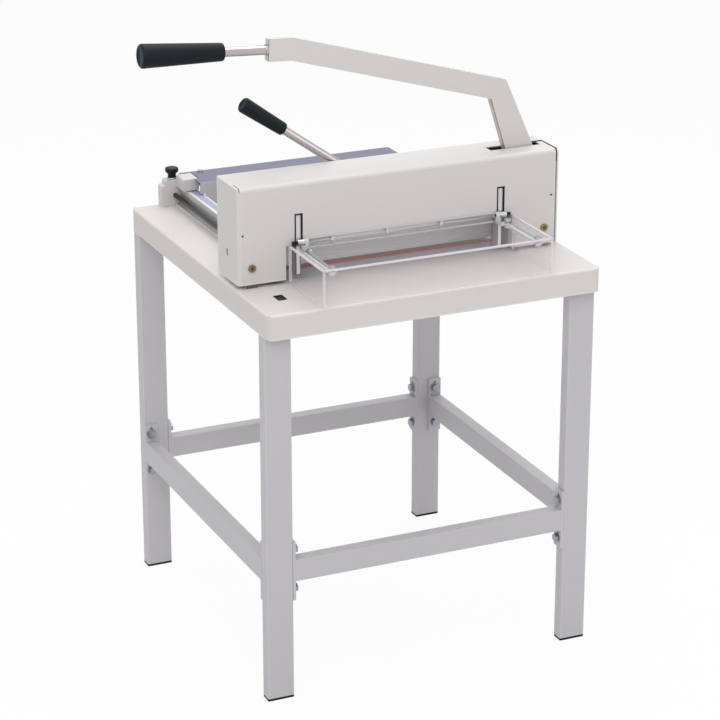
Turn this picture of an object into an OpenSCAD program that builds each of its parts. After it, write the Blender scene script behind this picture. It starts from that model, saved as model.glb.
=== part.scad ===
// Manual stack paper trimmer on a four-legged stand.
// X runs to the right, Y to the back and Z up. All lengths are in millimetres.
// The origin is on the floor, below the middle of the whole machine.

/* [Table] */
// Width of the table
table_w = 640; // [600:1:700]
// Depth of the table from front to back
table_d = 683; // [660:1:740]
// Height of the table's top face above the floor
table_top_z = 737; // [690:1:790]
// Height of the table's downturned rim
table_h = 45; // [38:1:60]
// Thickness of the table's top wall
table_wall = 9; // [8:0.5:12]
// Thickness of the rim
table_rim_t = 5; // [3:0.5:7]
// Width of the rim's inward flange
table_flange_w = 58; // [52:1:80]
// Thickness of the rim's inward flange
table_flange_t = 4; // [3:0.5:6]
// Radius of the table's upright corners
table_corner_r = 12; // [8:1:20]
// Radius of the table's top edges
table_edge_r = 5; // [2:0.5:7]
// Thickness of the steel plate let into the table
plate_t = 3; // [2:0.5:4]
// Distance of the steel plate's end from the table's back
plate_back = 47; // [42:1:80]
// Width of the cutting stick
stick_w = 16; // [13:0.5:18]
// Height of the cutting stick
stick_h = 6; // [5:0.5:7]
// Length of the black plug in the table, along Y
plug_d = 24; // [16:1:30]
// Width of the black plug in the table
plug_w = 16; // [10:1:20]
// Distance of the black plug from the table's left side
plug_x0 = 48; // [40:1:56]
// Distance of the black plug from the table's front
plug_y0 = 70; // [60:1:90]

/* [Stand] */
// Width of a leg, across the table
leg_w = 50; // [44:1:56]
// Depth of a leg, from front to back
leg_d = 26; // [24:1:32]
// Wall of the leg and stretcher tubes
tube_wall = 2; // [1.5:0.5:3]
// Radius of the tubes' corners
tube_corner_r = 2.5; // [1:0.5:4]
// Distance of the front legs from the table's front
leg_front_inset = 20.7; // [14:0.1:30]
// Distance of the back legs from the table's back
leg_back_inset = 9.6; // [7:0.1:20]
// Height of a foot cap below its leg
foot_h = 4.5; // [3:0.5:8]
// Height of a stretcher's section
stretcher_h = 42; // [36:1:50]
// Width of a stretcher's section
stretcher_w = 26; // [22:1:26]
// Height of the stretchers' middle above the floor
stretcher_z = 247; // [180:1:320]
// Height of a stretcher's end plate
end_plate_h = 113; // [104:1:130]
// Thickness of a stretcher's end plate
end_plate_t = 5; // [4:0.5:7]
// Distance between an end plate's two bolts
end_bolt_pitch = 76; // [70:1:86]

/* [Housing] */
// Distance of the housing from the table's left side
housing_inset = 4.8; // [2:0.1:10]
// Width of the housing
housing_w = 623.4; // [618:0.1:628]
// Distance of the housing from the table's front
housing_front_y = 147.3; // [130:0.1:170]
// Gap between the housing and the table
housing_lift = 7; // [4:0.5:10]
// Height of the housing
housing_h = 175; // [172:1:190]
// Thickness of the sheet-metal covers
cover_t = 2; // [1.5:0.25:2.5]
// Outer radius of the covers' bends
bend_r = 8; // [5:0.5:12]
// Distance of the throat from the table's left side
throat_x = 95; // [93:0.5:97]
// Width of the throat
throat_w = 442; // [440:1:444]
// Height of the throat above the housing's lower edge
throat_h = 62; // [58:1:64]
// Width of a slot beside the throat
slot_w = 15.5; // [15:0.5:18]
// Height of a slot above the throat
slot_h = 56; // [48:1:62]
// Distance of a slot from the throat's side
slot_inset = 16.5; // [14:0.5:20]
// Diameter of the brass lock screws' heads
lock_screw_d = 14; // [11:0.5:17]
// Distance of the lock screws from the housing's ends
lock_inset = 26.3; // [24:0.1:30]
// Height of the lock screws above the housing's lower edge
lock_rise = 30; // [22:1:36]
// Height of the two small holes above the housing's lower edge
small_hole_rise = 90; // [80:1:100]
// Depth of the space between the front cover and the front beam
front_space = 18.7; // [16:0.1:24]

/* [Frame] */
// Thickness of the two side frames
frame_t = 24; // [20:1:26]
// Thickness of the front beam
beam_t = 18; // [14:1:22]
// Height of the front beam
beam_h = 93; // [90:1:96]
// Thickness of the rear plate
rear_plate_t = 4; // [3:0.5:6]
// Height of the rear plate
rear_plate_h = 66; // [60:1:70]
// Height of a running boss beside the cutting lever
boss_h = 3.2; // [2:0.1:5]

/* [Cutting lever] */
// Distance of the lever's pivot from the table's left side
pivot_x = 588; // [586:0.5:589]
// Height of the lever's pivot above the table
pivot_rise = 131; // [130:0.5:134]
// Radius of the pivot shaft
pivot_r = 12; // [9:0.5:14]
// Thickness of the lever arm
arm_t = 18; // [14:1:22]
// Distance of the arm's tip from the pivot, across the table
arm_reach = 502.5; // [480:0.5:510]
// Height of the arm's tip above the pivot
arm_rise = 276; // [270:1:300]
// Length of the arm's level end, beside the rod
arm_end = 45.5; // [30:0.5:60]
// Distance of the elbow from the pivot, across the table
elbow_reach = 61; // [56:1:64]
// Height of the elbow above the pivot
elbow_rise = 161; // [156:1:170]
// Width of the arm's upper length
arm_w = 38.5; // [32:0.5:42]
// Width of the arm at its pivot
arm_foot_w = 58; // [50:0.5:58]
// Depth of the groove along the arm's inner edge
arm_groove_d = 5; // [2:0.5:8]
// Angle by which the lever swings down
swing_deg = 20; // [16:0.5:20]
// Length of the crank from the pivot to the drive pin
crank_r = 150.6; // [140:0.1:152]
// Angle of the crank below level at rest
crank_rest_deg = 5; // [4:0.5:6]
// Radius of the drive pin
drive_pin_r = 8; // [6:0.5:9]
// Diameter of the lever's rod
lever_rod_d = 16.5; // [12:0.5:18]
// Length of rod between the arm and the grip
lever_rod_len = 81.5; // [70:0.5:100]
// Tilt of the rod and grip
lever_tilt_deg = 3; // [1:0.5:5]
// Length of the lever's grip
lever_grip_len = 153; // [130:1:170]
// Diameter of the lever's grip at its free end
lever_grip_d = 42.5; // [36:0.5:46]
// Diameter of the lever's grip at the rod
lever_grip_neck_d = 32; // [26:0.5:35]

/* [Knife] */
// Thickness of the knife beam
knife_t = 12; // [10:0.5:14]
// Height of the knife beam
knife_h = 90; // [86:1:92]
// Thickness of the blade
blade_t = 4.5; // [3:0.5:6]
// Height of the blade
blade_h = 69; // [62:1:72]
// Amount by which the blade is shorter than the throat
blade_short = 2; // [2:0.5:12]
// Height of the blade's ground bevel
bevel_h = 10; // [6:0.5:14]
// Radius of the guide studs
stud_r = 7.7; // [6:0.1:9]

/* [Clamp] */
// Distance of the clamp lever's pivot from the table's left side
clamp_x = 316; // [300:1:330]
// Height of the clamp lever's pivot above the table
clamp_rise = 119; // [117:0.5:122]
// Gap between the raised clamp and the table in this pose
clamp_gap = 5; // [4.8:0.1:6]
// Thickness of the clamp's upright web
clamp_web_t = 4.4; // [3.5:0.1:6]
// Height of the clamp's upright web
clamp_web_h = 88; // [80:1:90]
// Depth of the clamp's foot
clamp_foot_d = 35; // [24:1:40]
// Height of the clamp's foot
clamp_foot_h = 12; // [8:0.5:14]
// Number of teeth on the clamp's pinion
pinion_teeth = 20; // [18:1:20]
// Module of the rack and pinion teeth
tooth_module = 2.5; // [2.2:0.1:2.5]
// Angle of the clamp lever above level
clamp_lever_deg = 35.4; // [30:0.1:45]
// Diameter of the clamp lever's rod
clamp_rod_d = 15.5; // [10:0.5:16]
// Distance from the clamp's pivot to its grip
clamp_rod_len = 221; // [190:1:250]
// Length of the clamp lever's grip
clamp_grip_len = 98; // [80:1:120]
// Diameter of the clamp lever's grip at its free end
clamp_grip_d = 28.5; // [22:0.5:30]
// Diameter of the clamp lever's grip at the rod
clamp_grip_neck_d = 24; // [18:0.5:26]

/* [Guard] */
// Width of the clear guard
guard_w = 441; // [432:1:450]
// Depth of the clear guard from front to back
guard_d = 149; // [120:1:170]
// Thickness of the guard's clear panels
guard_t = 5; // [4:0.5:6]
// Height of the guard's top above the table
guard_rise = 70; // [66:0.5:74]
// Gap between the guard and the table
guard_gap = 5; // [3:0.5:10]
// Width of a guard arm
guard_arm_w = 12; // [10:0.5:14]
// Thickness of a guard arm
guard_arm_t = 4; // [3:0.5:5]
// Radius of the guard's hinge pins
hinge_pin_r = 3; // [2.5:0.25:3.5]
// Height of the clear strip on the front cover
strip_h = 18; // [14:1:22]
// Thickness of the clear strip
strip_t = 3.8; // [2:0.1:4]

/* [Back gauge] */
// Distance of the guide rod from the table's left side
rod_x = 82; // [80:0.5:84]
// Height of the guide rod's axis above the table
rod_rise = 20; // [16:0.5:22]
// Radius of the guide rod
rod_r = 5; // [4:0.25:6]
// Width of the side lay
side_lay_w = 23; // [20:0.5:26]
// Height of the side lay above the table
side_lay_h = 35; // [31:0.5:38]
// Height of the fence above the table
fence_h = 60; // [58:0.5:70]
// Depth of the fence's top flange
fence_d = 78; // [70:1:84]
// Width of the fence
fence_w = 426; // [420:1:434]
// Thickness of the fence's sheet
fence_t = 2; // [1.5:0.25:3]
// Width of the gauge block
block_w = 37; // [34:1:44]
// Depth of the gauge block from front to back
block_d = 22; // [18:1:24]
// Height of the gauge block above the table
block_h = 51; // [49:0.5:56]
// Diameter of the knob's head
knob_d = 26; // [22:0.5:30]
// Height of the knob above its washer
knob_h = 19; // [17:0.5:26]

/* [Hidden] */
$fn = 72;

// Clearances and the overrun of cuts
over = 1;
run_gap = 0.3;
pin_gap = 0.05;
hair_gap = 0.1;
side_gap = 2;
over_lap = 1;
lay_gap = 1;
fence_lift = 1;

// Heights of the table and housing
table_z0 = table_top_z - table_h;
house_x0 = housing_inset;
house_x1 = housing_inset + housing_w;
house_z0 = table_top_z + housing_lift;
house_z1 = house_z0 + housing_h;
inner_top_z = house_z1 - cover_t;
throat_x1 = throat_x + throat_w;
throat_z = house_z0 + throat_h;

// Layers of the mechanism, from the front to the back
cover_y1 = housing_front_y + cover_t;
beam_y0 = cover_y1 + front_space;
beam_y1 = beam_y0 + beam_t;
arm_y0 = beam_y1 + boss_h + run_gap;
arm_y1 = arm_y0 + arm_t;
layer_gap = 1.5;
knife_y0 = arm_y1 + layer_gap;
knife_y1 = knife_y0 + knife_t;
blade_y1 = knife_y1 + blade_t;
clamp_y0 = blade_y1 + layer_gap;
clamp_y1 = clamp_y0 + clamp_web_t;
rear_y0 = clamp_y1 + 2 * run_gap;
rear_y1 = rear_y0 + rear_plate_t;
bolt_head_h = 2.6;
house_y1 = rear_y1 + bolt_head_h + run_gap + cover_t;
house_d = house_y1 - housing_front_y;
rear_cover_y0 = house_y1 - cover_t;

// Frame heights
beam_z0 = throat_z + 3 * cover_t;
beam_z1 = beam_z0 + beam_h;
rear_z1 = beam_z1;
rear_z0 = rear_z1 - rear_plate_h;
frame_x0 = throat_x - frame_t;
frame_x1 = throat_x1 + frame_t;
frame_base_h = 5;
beam_x0 = frame_x0 - frame_t / 3;
shaft_wall = 22;
beam_x1 = min(pivot_x + pivot_r + shaft_wall, house_x1 - 3 * cover_t);

// Cutting lever and its crank
pivot_z = table_top_z + pivot_rise;
hub_margin = 1.5;
hub_r = arm_foot_w / 2 + hub_margin;
eye_r = drive_pin_r + drive_pin_r;
travel_deg = crank_rest_deg + swing_deg / 2;
knife_travel = 2 * crank_r * sin(swing_deg / 2);
pin_x = pivot_x - crank_r * cos(crank_rest_deg);
pin_z = pivot_z - crank_r * sin(crank_rest_deg);
sagitta = crank_r * (1 - cos(swing_deg / 2));
knife_drop = knife_travel * cos(travel_deg);
knife_shift = knife_travel * sin(travel_deg);

// Arm's middle line, from the tip to the pivot
arm_line = [
    [pivot_x - arm_reach, pivot_z + arm_rise],
    [pivot_x - arm_reach + arm_end, pivot_z + arm_rise - arm_end * tan(lever_tilt_deg)],
    [pivot_x - elbow_reach, pivot_z + elbow_rise],
    [pivot_x, pivot_z]];
arm_widths = [arm_w, arm_w, arm_w, arm_foot_w];

// Knife
edge_z = table_top_z + run_gap + knife_drop;
blade_z1 = edge_z + blade_h;
knife_z0 = beam_z0 - 2 * cover_t - beam_t / 6;
knife_z1 = knife_z0 + knife_h;
slot_wall = 6;
blade_len = throat_w - blade_short;
blade_x1 = throat_x1 - 2 * run_gap - knife_shift - hair_gap;
blade_x0 = blade_x1 - blade_len;
knife_x0 = blade_x0 - frame_t;
knife_x1 = blade_x1 + frame_t - layer_gap;
stud_share = 0.385;
stud_thread_r = 6;
stud_head_r = stud_r + stud_r * 2 / 3;
stud_z = knife_z0 + 2 * stud_r + stud_r / 2;
stud_xs = [throat_x + 2 * stud_r, pin_x - crank_r * stud_share];
slot_r = stud_r + run_gap;
pin_slot_r = drive_pin_r + run_gap;

// Blade bolts stand in two rows, between the slots and to the right of them
blade_bolt_r = 4;
blade_bolt_head_r = 7;
blade_bolt_head_h = knife_t / 2;
blade_bolt_z = knife_z0 + blade_bolt_head_r + blade_bolt_r;
blade_bolt_clear = slot_r + blade_bolt_head_r + slot_wall;
blade_bolt_a = stud_xs[0] + blade_bolt_clear;
blade_bolt_b = stud_xs[1] - knife_shift - blade_bolt_clear;
blade_bolt_c = stud_xs[1] + blade_bolt_clear;
blade_bolt_d = blade_x1 - blade_bolt_clear;
blade_bolt_xs = concat([for (i = [0:3]) blade_bolt_a + (blade_bolt_b - blade_bolt_a) * i / 3],
    [blade_bolt_c, blade_bolt_d]);

// Clamp with its rack and pinion
clamp_z0 = table_top_z + clamp_gap;
clamp_pz = table_top_z + clamp_rise;
pitch_r = tooth_module * pinion_teeth / 2;
tip_r = pitch_r + tooth_module;
rack_x = clamp_x - pitch_r;
backlash = 0.35;
raise_deg = 85;
lower_deg = 10;
clamp_rise_max = pitch_r * raise_deg * PI / 180;
clamp_drop_max = pitch_r * lower_deg * PI / 180;
rack_steps_up = ceil((clamp_drop_max + tooth_module) / (tooth_module * PI));
rack_steps_down = ceil((clamp_rise_max + tooth_module) / (tooth_module * PI));
rack_back = 14;
rack_z1 = clamp_pz + rack_steps_up * tooth_module * PI + tooth_module;
clamp_web_z1 = clamp_z0 + clamp_web_h;
clamp_x0 = throat_x + 2 * run_gap;
clamp_x1 = throat_x1 - 2 * run_gap;
clamp_shaft_r = 7;
bearing_wall = 6;
bearing_r = clamp_shaft_r + bearing_wall;
bearing_y1 = house_y1 + bearing_wall * 0.75;
hub_len = 12;
clamp_hub_r = 15;
clamp_hub_y0 = bearing_y1 + run_gap;
clamp_hub_y1 = clamp_hub_y0 + hub_len;
clamp_lever_y = clamp_hub_y0 + hub_len / 2;

// Guard and its hinge
strip_head_h = 2;
strip_head_r = 4;
guard_x0 = throat_x + (throat_w - guard_w) / 2 + side_gap;
guard_x1 = guard_x0 + guard_w;
guard_y1 = housing_front_y - strip_t - strip_head_h - run_gap;
guard_y0 = guard_y1 - guard_d;
guard_z0 = table_top_z + guard_gap;
guard_z1 = table_top_z + guard_rise;
hinge_y = housing_front_y - 2.4 * hinge_pin_r;
hinge_z = guard_z1 + 1.6 * hinge_pin_r;
hinge_wall = 3;
knuckle_r = hinge_pin_r + hinge_wall;
post_w = 9.5;
post_y0 = cover_y1 + layer_gap / 2;
post_z0 = house_z0 + guard_gap;
post_z1 = throat_z + slot_h;
slot_xs = [throat_x + slot_inset + slot_w / 2, throat_x1 - slot_inset - slot_w / 2];
bracket_w = 13;
knuckle_w = 7;
arm_z1 = guard_z1 - guard_t;
arm_z0 = arm_z1 - guard_arm_t;
arm_tail = 10;
guard_arm_y1 = hinge_y - knuckle_r - run_gap - arm_tail / 2;
screw_r = 2.5;
screw_head_r = 6;
screw_head_h = 3;
screw_ys = [guard_y0 + guard_t + screw_head_r + run_gap, guard_arm_y1 - arm_tail];

// Back gauge and side lay
rod_z = table_top_z + rod_rise;
block_wall = 5;
block_x1 = rod_x + rod_r + block_wall;
block_x0 = block_x1 - block_w;
block_y1 = table_d - run_gap;
block_y0 = block_y1 - block_d;
block_z0 = table_top_z + run_gap;
block_z1 = table_top_z + block_h;
side_lay_x0 = block_x1 + lay_gap;
side_lay_t = 11;
lay_z1 = table_top_z + side_lay_h;
lay_z0 = lay_z1 - side_lay_t;
scale_t = 0.5;
fence_z1 = table_top_z + fence_h;
fence_y1 = block_y1 - 2 * screw_head_r;
fence_y0 = fence_y1 - fence_d;
fence_x1 = throat_x1 - 2 * cover_t;
fence_x0 = fence_x1 - fence_w;
fence_face_x0 = side_lay_x0 + side_lay_w + side_gap;
gauge_arm_z0 = lay_z1 + scale_t + side_gap;
gauge_arm_x1 = fence_face_x0 + 2 * hub_len;
casting_x1 = fence_face_x0 - 2 * over_lap;
casting_d = 38;
casting_y1 = block_y0 + over_lap;
casting_y0 = block_y0 - casting_d;
fence_tail = 14;
knob_share = 0.66;
knob_x = block_x0 + block_w * knob_share;
knob_y = (block_y0 + block_y1) / 2;
knob_neck_r = 7.5;
knob_stud_r = 4;
knob_stud_len = 18;
washer_h = 2.5;
washer_r = 10;
bracket_t = 5;
rod_y0 = clamp_y0 - run_gap;
rod_y1 = table_d + bracket_t;

// Where the origin lies on the floor
grip_axis = [-cos(lever_tilt_deg), sin(lever_tilt_deg)];
grip_far = lever_rod_len + lever_grip_len;
grip_left_x = arm_line[0][0] + grip_axis[0] * grip_far;
origin_x = (grip_left_x + table_w) / 2;
origin_y = (guard_y0 + rod_y1) / 2;

// Outline of a bar that follows a middle line and changes its width
function dir_of(a, b) = (b - a) / norm(b - a);
function left_of(d) = [-d[1], d[0]];
function end_normal(pts, i) =
    i == 0 ? left_of(dir_of(pts[0], pts[1])) :
    i == len(pts) - 1 ? left_of(dir_of(pts[i - 1], pts[i])) :
    let (a = left_of(dir_of(pts[i - 1], pts[i])), b = left_of(dir_of(pts[i], pts[i + 1])),
        m = (a + b) / norm(a + b)) m / (m * a);
function bar_side(pts, widths, side) =
    [for (i = [0:len(pts) - 1]) pts[i] + side * widths[i] / 2 * end_normal(pts, i)];
function backwards(list) = [for (i = [len(list) - 1:-1:0]) list[i]];

// Straight sides of a link between two round ends
function link_side(a, b, ra, rb, side) =
    let (d = dir_of(a, b), lean = asin((ra - rb) / norm(b - a)),
        n = side * left_of(d) * cos(lean) + d * sin(lean))
    [a + ra * n, b + rb * n];

// Gear teeth with involute flanks
pressure_deg = 20;
function involute(base, a) = base * [cos(a) + a * PI / 180 * sin(a), sin(a) - a * PI / 180 * cos(a)];
function roll_deg(base, r) = sqrt(pow(r / base, 2) - 1) * 180 / PI;
function polar_deg(p) = atan2(p[1], p[0]);
function turned(p, a) = [p[0] * cos(a) - p[1] * sin(a), p[0] * sin(a) + p[1] * cos(a)];

module box(x, y, z) {
    translate([x[0], y[0], z[0]]) cube([x[1] - x[0], y[1] - y[0], z[1] - z[0]]);
}

module round_y(r, x, z, y) {
    translate([x, y[0], z]) rotate([-90, 0, 0]) cylinder(r = r, h = y[1] - y[0]);
}

module round_x(r, y, z, x) {
    translate([x[0], y, z]) rotate([0, 90, 0]) cylinder(r = r, h = x[1] - x[0]);
}

module round_z(r, x, y, z) {
    translate([x, y, z[0]]) cylinder(r = r, h = z[1] - z[0]);
}

// An outline in X and Z made thick along Y
module slab_y(y) {
    translate([0, y[1], 0]) rotate([90, 0, 0]) linear_extrude(height = y[1] - y[0]) children();
}

// An outline in Y and Z made long along X
module slab_x(x) {
    translate([x[0], 0, 0]) rotate([90, 0, 90]) linear_extrude(height = x[1] - x[0]) children();
}

module slab_z(z) {
    translate([0, 0, z[0]]) linear_extrude(height = z[1] - z[0]) children();
}

module area(a, b) {
    translate([a[0], b[0]]) square([a[1] - a[0], b[1] - b[0]]);
}

module rounded_area(a, b, r) {
    area([a[0] + r, a[1] - r], b);
    area(a, [b[0] + r, b[1] - r]);
    for (x = [a[0] + r, a[1] - r], y = [b[0] + r, b[1] - r]) translate([x, y]) circle(r = r);
}

// An area with both upper corners rounded
module crowned_area(a, b, r) {
    area([a[0] + r, a[1] - r], b);
    area(a, [b[0], b[1] - r]);
    for (x = [a[0] + r, a[1] - r]) translate([x, b[1] - r]) circle(r = r);
}

// An area with one corner rounded: low a and high b
module bent_area(a, b, r) {
    area([a[0] + r, a[1]], b);
    area(a, [b[0], b[1] - r]);
    translate([a[0] + r, b[1] - r]) circle(r = r);
}

module stadium(a, b, r) {
    d = dir_of(a, b);
    n = left_of(d) * r;
    polygon([a + n, b + n, b - n, a - n]);
    translate(a) circle(r = r);
    translate(b) circle(r = r);
}

module at_origin() {
    translate([-origin_x, -origin_y, 0]) children();
}

// A hex bolt head with its washer and shank, pointing up
bolt_af = 14;
bolt_washer_r = 10;
bolt_washer_h = 1.5;
hex_h = 5.5;
module hex_bolt(shank_r, shank_len) {
    cylinder(r = bolt_washer_r, h = bolt_washer_h);
    translate([0, 0, bolt_washer_h]) cylinder(r = bolt_af / 2 / cos(30), h = hex_h, $fn = 6);
    translate([0, 0, -shank_len]) cylinder(r = shank_r, h = shank_len + over);
}

// Table
module table_block() {
    intersection() {
        slab_z([table_z0, table_top_z + over])
            rounded_area([0, table_w], [0, table_d], table_corner_r);
        slab_y([-over, table_d + over])
            crowned_area([0, table_w], [table_z0 - over, table_top_z], table_edge_r);
        slab_x([-over, table_w + over])
            crowned_area([0, table_d], [table_z0 - over, table_top_z], table_edge_r);
    }
}

plate_y0 = housing_front_y + front_space;
stick_y1 = blade_y1 + stick_w / 3;
stick_y0 = stick_y1 - stick_w;
plate_y1 = table_d - plate_back;
leg_bolt_r = 4;
leg_bolt_pitch = leg_w / 2;
leg_top_t = 8;

module table_top() {
    rim_x = [table_rim_t, table_w - table_rim_t];
    rim_y = [table_rim_t, table_d - table_rim_t];
    color("#e4e0dc") difference() {
        table_block();
        box(rim_x, rim_y, [table_z0 + table_flange_t, table_top_z - table_wall]);
        box([table_flange_w, table_w - table_flange_w], [table_flange_w, table_d - table_flange_w],
            [table_z0 - over, table_z0 + table_flange_t + over]);
        box([throat_x, throat_x1], [plate_y0, plate_y1],
            [table_top_z - plate_t, table_top_z + over]);
        box([throat_x, throat_x1], [stick_y0, stick_y1],
            [table_top_z - stick_h, table_top_z + over]);
        box([plug_x0, plug_x0 + plug_w], [plug_y0, plug_y0 + plug_d],
            [table_top_z - plate_t, table_top_z + over]);
        leg_places() leg_bolts_at() translate([0, 0, table_z0 - over])
            cylinder(r = leg_bolt_r + hair_gap, h = table_flange_t + 2 * over);
    }
}

module table_plug() {
    lip = 1.2;
    color("#202224") {
        box([plug_x0, plug_x0 + plug_w], [plug_y0, plug_y0 + plug_d],
            [table_top_z - plate_t, table_top_z]);
        difference() {
            box([plug_x0, plug_x0 + plug_w], [plug_y0, plug_y0 + plug_d],
                [table_top_z - lip, table_top_z + lip]);
            box([plug_x0 + lip, plug_x0 + plug_w - lip], [plug_y0 + lip, plug_y0 + plug_d - lip],
                [table_top_z, table_top_z + 2 * lip]);
        }
    }
}

module table_plate() {
    color("#9a9ca0") difference() {
        box([throat_x, throat_x1], [plate_y0, plate_y1],
            [table_top_z - plate_t, table_top_z]);
        box([throat_x - over, throat_x1 + over], [stick_y0, stick_y1],
            [table_top_z - 2 * plate_t, table_top_z + over]);
    }
}

module cutting_stick() {
    color("#e0492e") box([throat_x, throat_x1], [stick_y0, stick_y1],
        [table_top_z - stick_h, table_top_z]);
}

// Legs stand at the four corners, flush with the table's sides
leg_front_y = leg_front_inset + leg_d / 2;
leg_back_y = table_d - leg_back_inset - leg_d / 2;
leg_xs = [leg_w / 2, table_w - leg_w / 2];
leg_ys = [leg_front_y, leg_back_y];

module leg_places() {
    for (x = leg_xs, y = leg_ys) translate([x, y, 0]) children();
}

module leg_bolts_at() {
    for (s = [-1, 1]) translate([s * leg_bolt_pitch / 2, 0, 0]) children();
}

module table_bolts() {
    color("#b8b9bc") leg_places() leg_bolts_at()
        translate([0, 0, table_z0 + table_flange_t]) {
            cylinder(r = leg_bolt_r * 1.75, h = leg_bolt_r);
            translate([0, 0, -table_flange_t - leg_top_t])
                cylinder(r = leg_bolt_r, h = table_flange_t + leg_top_t + over);
        }
}

module tube_area(w, d) {
    difference() {
        rounded_area([-w / 2, w / 2], [-d / 2, d / 2], tube_corner_r);
        area([tube_wall - w / 2, w / 2 - tube_wall], [tube_wall - d / 2, d / 2 - tube_wall]);
    }
}

end_bolt_r = 4;

// A leg has a closed top that takes the table's bolts, and holes for its stretchers' bolts
module leg(x, y, side_x, side_y) {
    color("#bebcc2") difference() {
        translate([x, y, 0]) {
            slab_z([foot_h, table_z0]) tube_area(leg_w, leg_d);
            slab_z([table_z0 - leg_top_t, table_z0])
                area([tube_wall - leg_w / 2 - hair_gap, leg_w / 2 - tube_wall + hair_gap],
                    [tube_wall - leg_d / 2 - hair_gap, leg_d / 2 - tube_wall + hair_gap]);
        }
        translate([x, y, table_z0 - leg_top_t - over]) leg_bolts_at()
            cylinder(r = leg_bolt_r, h = leg_top_t + 2 * over);
        for (s = [-1, 1]) {
            z = stretcher_z + s * end_bolt_pitch / 2;
            translate([x, y, z]) rotate([0, side_x * 90, 0])
                cylinder(r = end_bolt_r + hair_gap, h = leg_w);
            translate([x - side_x * (leg_w - stretcher_w) / 2, y, z]) rotate([-side_y * 90, 0, 0])
                cylinder(r = end_bolt_r + hair_gap, h = leg_d);
        }
    }
}

module leg_front_left() { leg(leg_xs[0], leg_ys[0], 1, 1); }
module leg_front_right() { leg(leg_xs[1], leg_ys[0], -1, 1); }
module leg_back_left() { leg(leg_xs[0], leg_ys[1], 1, -1); }
module leg_back_right() { leg(leg_xs[1], leg_ys[1], -1, -1); }

module foot_caps() {
    plug_h = 12;
    color("#1c1d1f") leg_places() {
        slab_z([0, foot_h]) rounded_area([-leg_w / 2, leg_w / 2], [-leg_d / 2, leg_d / 2],
            tube_corner_r);
        slab_z([foot_h - over, foot_h + plug_h])
            area([tube_wall - leg_w / 2, leg_w / 2 - tube_wall],
                [tube_wall - leg_d / 2, leg_d / 2 - tube_wall]);
    }
}

// A stretcher lies along X, with a plate on each end
module stretcher(len) {
    half = len / 2;
    small_hole_r = 2.5;
    color("#b2b0b6") {
        slab_x([end_plate_t - half - hair_gap, half - end_plate_t + hair_gap])
            tube_area(stretcher_w, stretcher_h);
        for (s = [-1, 1]) difference() {
            translate([s * (half - end_plate_t / 2) - end_plate_t / 2, 0, 0])
                slab_x([0, end_plate_t])
                    area([-stretcher_w / 2, stretcher_w / 2], [-end_plate_h / 2, end_plate_h / 2]);
            for (t = [-1, 1]) translate([s * half, 0, t * end_bolt_pitch / 2])
                rotate([0, -s * 90, 0]) translate([0, 0, -over])
                    cylinder(r = end_bolt_r + hair_gap, h = end_plate_t + 2 * over);
            translate([s * half, 0, end_plate_h / 2 - 3 * small_hole_r])
                rotate([0, -s * 90, 0]) translate([0, 0, -over])
                    cylinder(r = small_hole_r, h = end_plate_t + 2 * over);
        }
    }
}

module end_bolts(len) {
    for (s = [-1, 1], t = [-1, 1])
        translate([s * (len / 2 - end_plate_t), 0, t * end_bolt_pitch / 2])
            rotate([0, -s * 90, 0]) hex_bolt(end_bolt_r, end_plate_t + tube_wall);
}

cross_len = table_w - 2 * leg_w;
side_len = leg_back_y - leg_front_y - leg_d;
side_mid_y = (leg_front_y + leg_back_y) / 2;

module cross_place(y) { translate([table_w / 2, y, stretcher_z]) children(); }
module side_place(x) { translate([x, side_mid_y, stretcher_z]) rotate([0, 0, 90]) children(); }

module stretcher_front() { cross_place(leg_front_y) stretcher(cross_len); }
module stretcher_back() { cross_place(leg_back_y) stretcher(cross_len); }
module stretcher_left() { side_place(stretcher_w / 2) stretcher(side_len); }
module stretcher_right() { side_place(table_w - stretcher_w / 2) stretcher(side_len); }
module stretcher_bolts() {
    color("#c9c9cc") {
        for (y = leg_ys) cross_place(y) end_bolts(cross_len);
        for (x = [stretcher_w / 2, table_w - stretcher_w / 2]) side_place(x) end_bolts(side_len);
    }
}

// Covers of the housing
end_cover_t = 3;
gasket_t = 2.5;
gasket_w = 9;
cover_x1 = house_x1 - end_cover_t - gasket_t;
small_hole_r = 2.2;
small_hole_x = 9.8;
small_hole_z = house_z0 + small_hole_rise;
lock_z = house_z0 + lock_rise;
lock_xs = [house_x0 + lock_inset, house_x1 - lock_inset];
lock_shank_r = 3.5;
return_d = 15;
arm_slot_left = 77;
arm_slot_right = 24;
slit_w = 6;
arm_slot_x0 = pivot_x - arm_slot_left;
arm_slot_x1 = pivot_x + arm_slot_right;
arm_slot_y0 = beam_y1;
arm_slot_y1 = arm_y1 + side_gap;
strip_overlap = 8;
strip_inset = 39.5;
strip_x = [throat_x + strip_inset, throat_x1 - strip_inset];
strip_z = throat_z - strip_overlap;
strip_screw_z = throat_z + strip_h / 4;
strip_screw_share = [0.13, 0.42, 0.71];
strip_screw_xs = [for (s = strip_screw_share) strip_x[0] + s * (strip_x[1] - strip_x[0])];
strip_screw_r = 2;

module low_bent_area(a, b, r) {
    area([a[0] + r, a[1]], b);
    area(a, [b[0] + r, b[1]]);
    translate([a[0] + r, b[0] + r]) circle(r = r);
}

module cover_form(inset, x1, y1, z0, z1) {
    intersection() {
        slab_x([house_x0 + inset - over, x1])
            bent_area([housing_front_y + inset, y1], [z0, house_z1 - inset], bend_r - inset);
        slab_z([z0 - over, z1])
            low_bent_area([house_x0 + inset, x1 + over], [housing_front_y + inset, y1 + over],
                bend_r - inset);
    }
}

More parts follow.
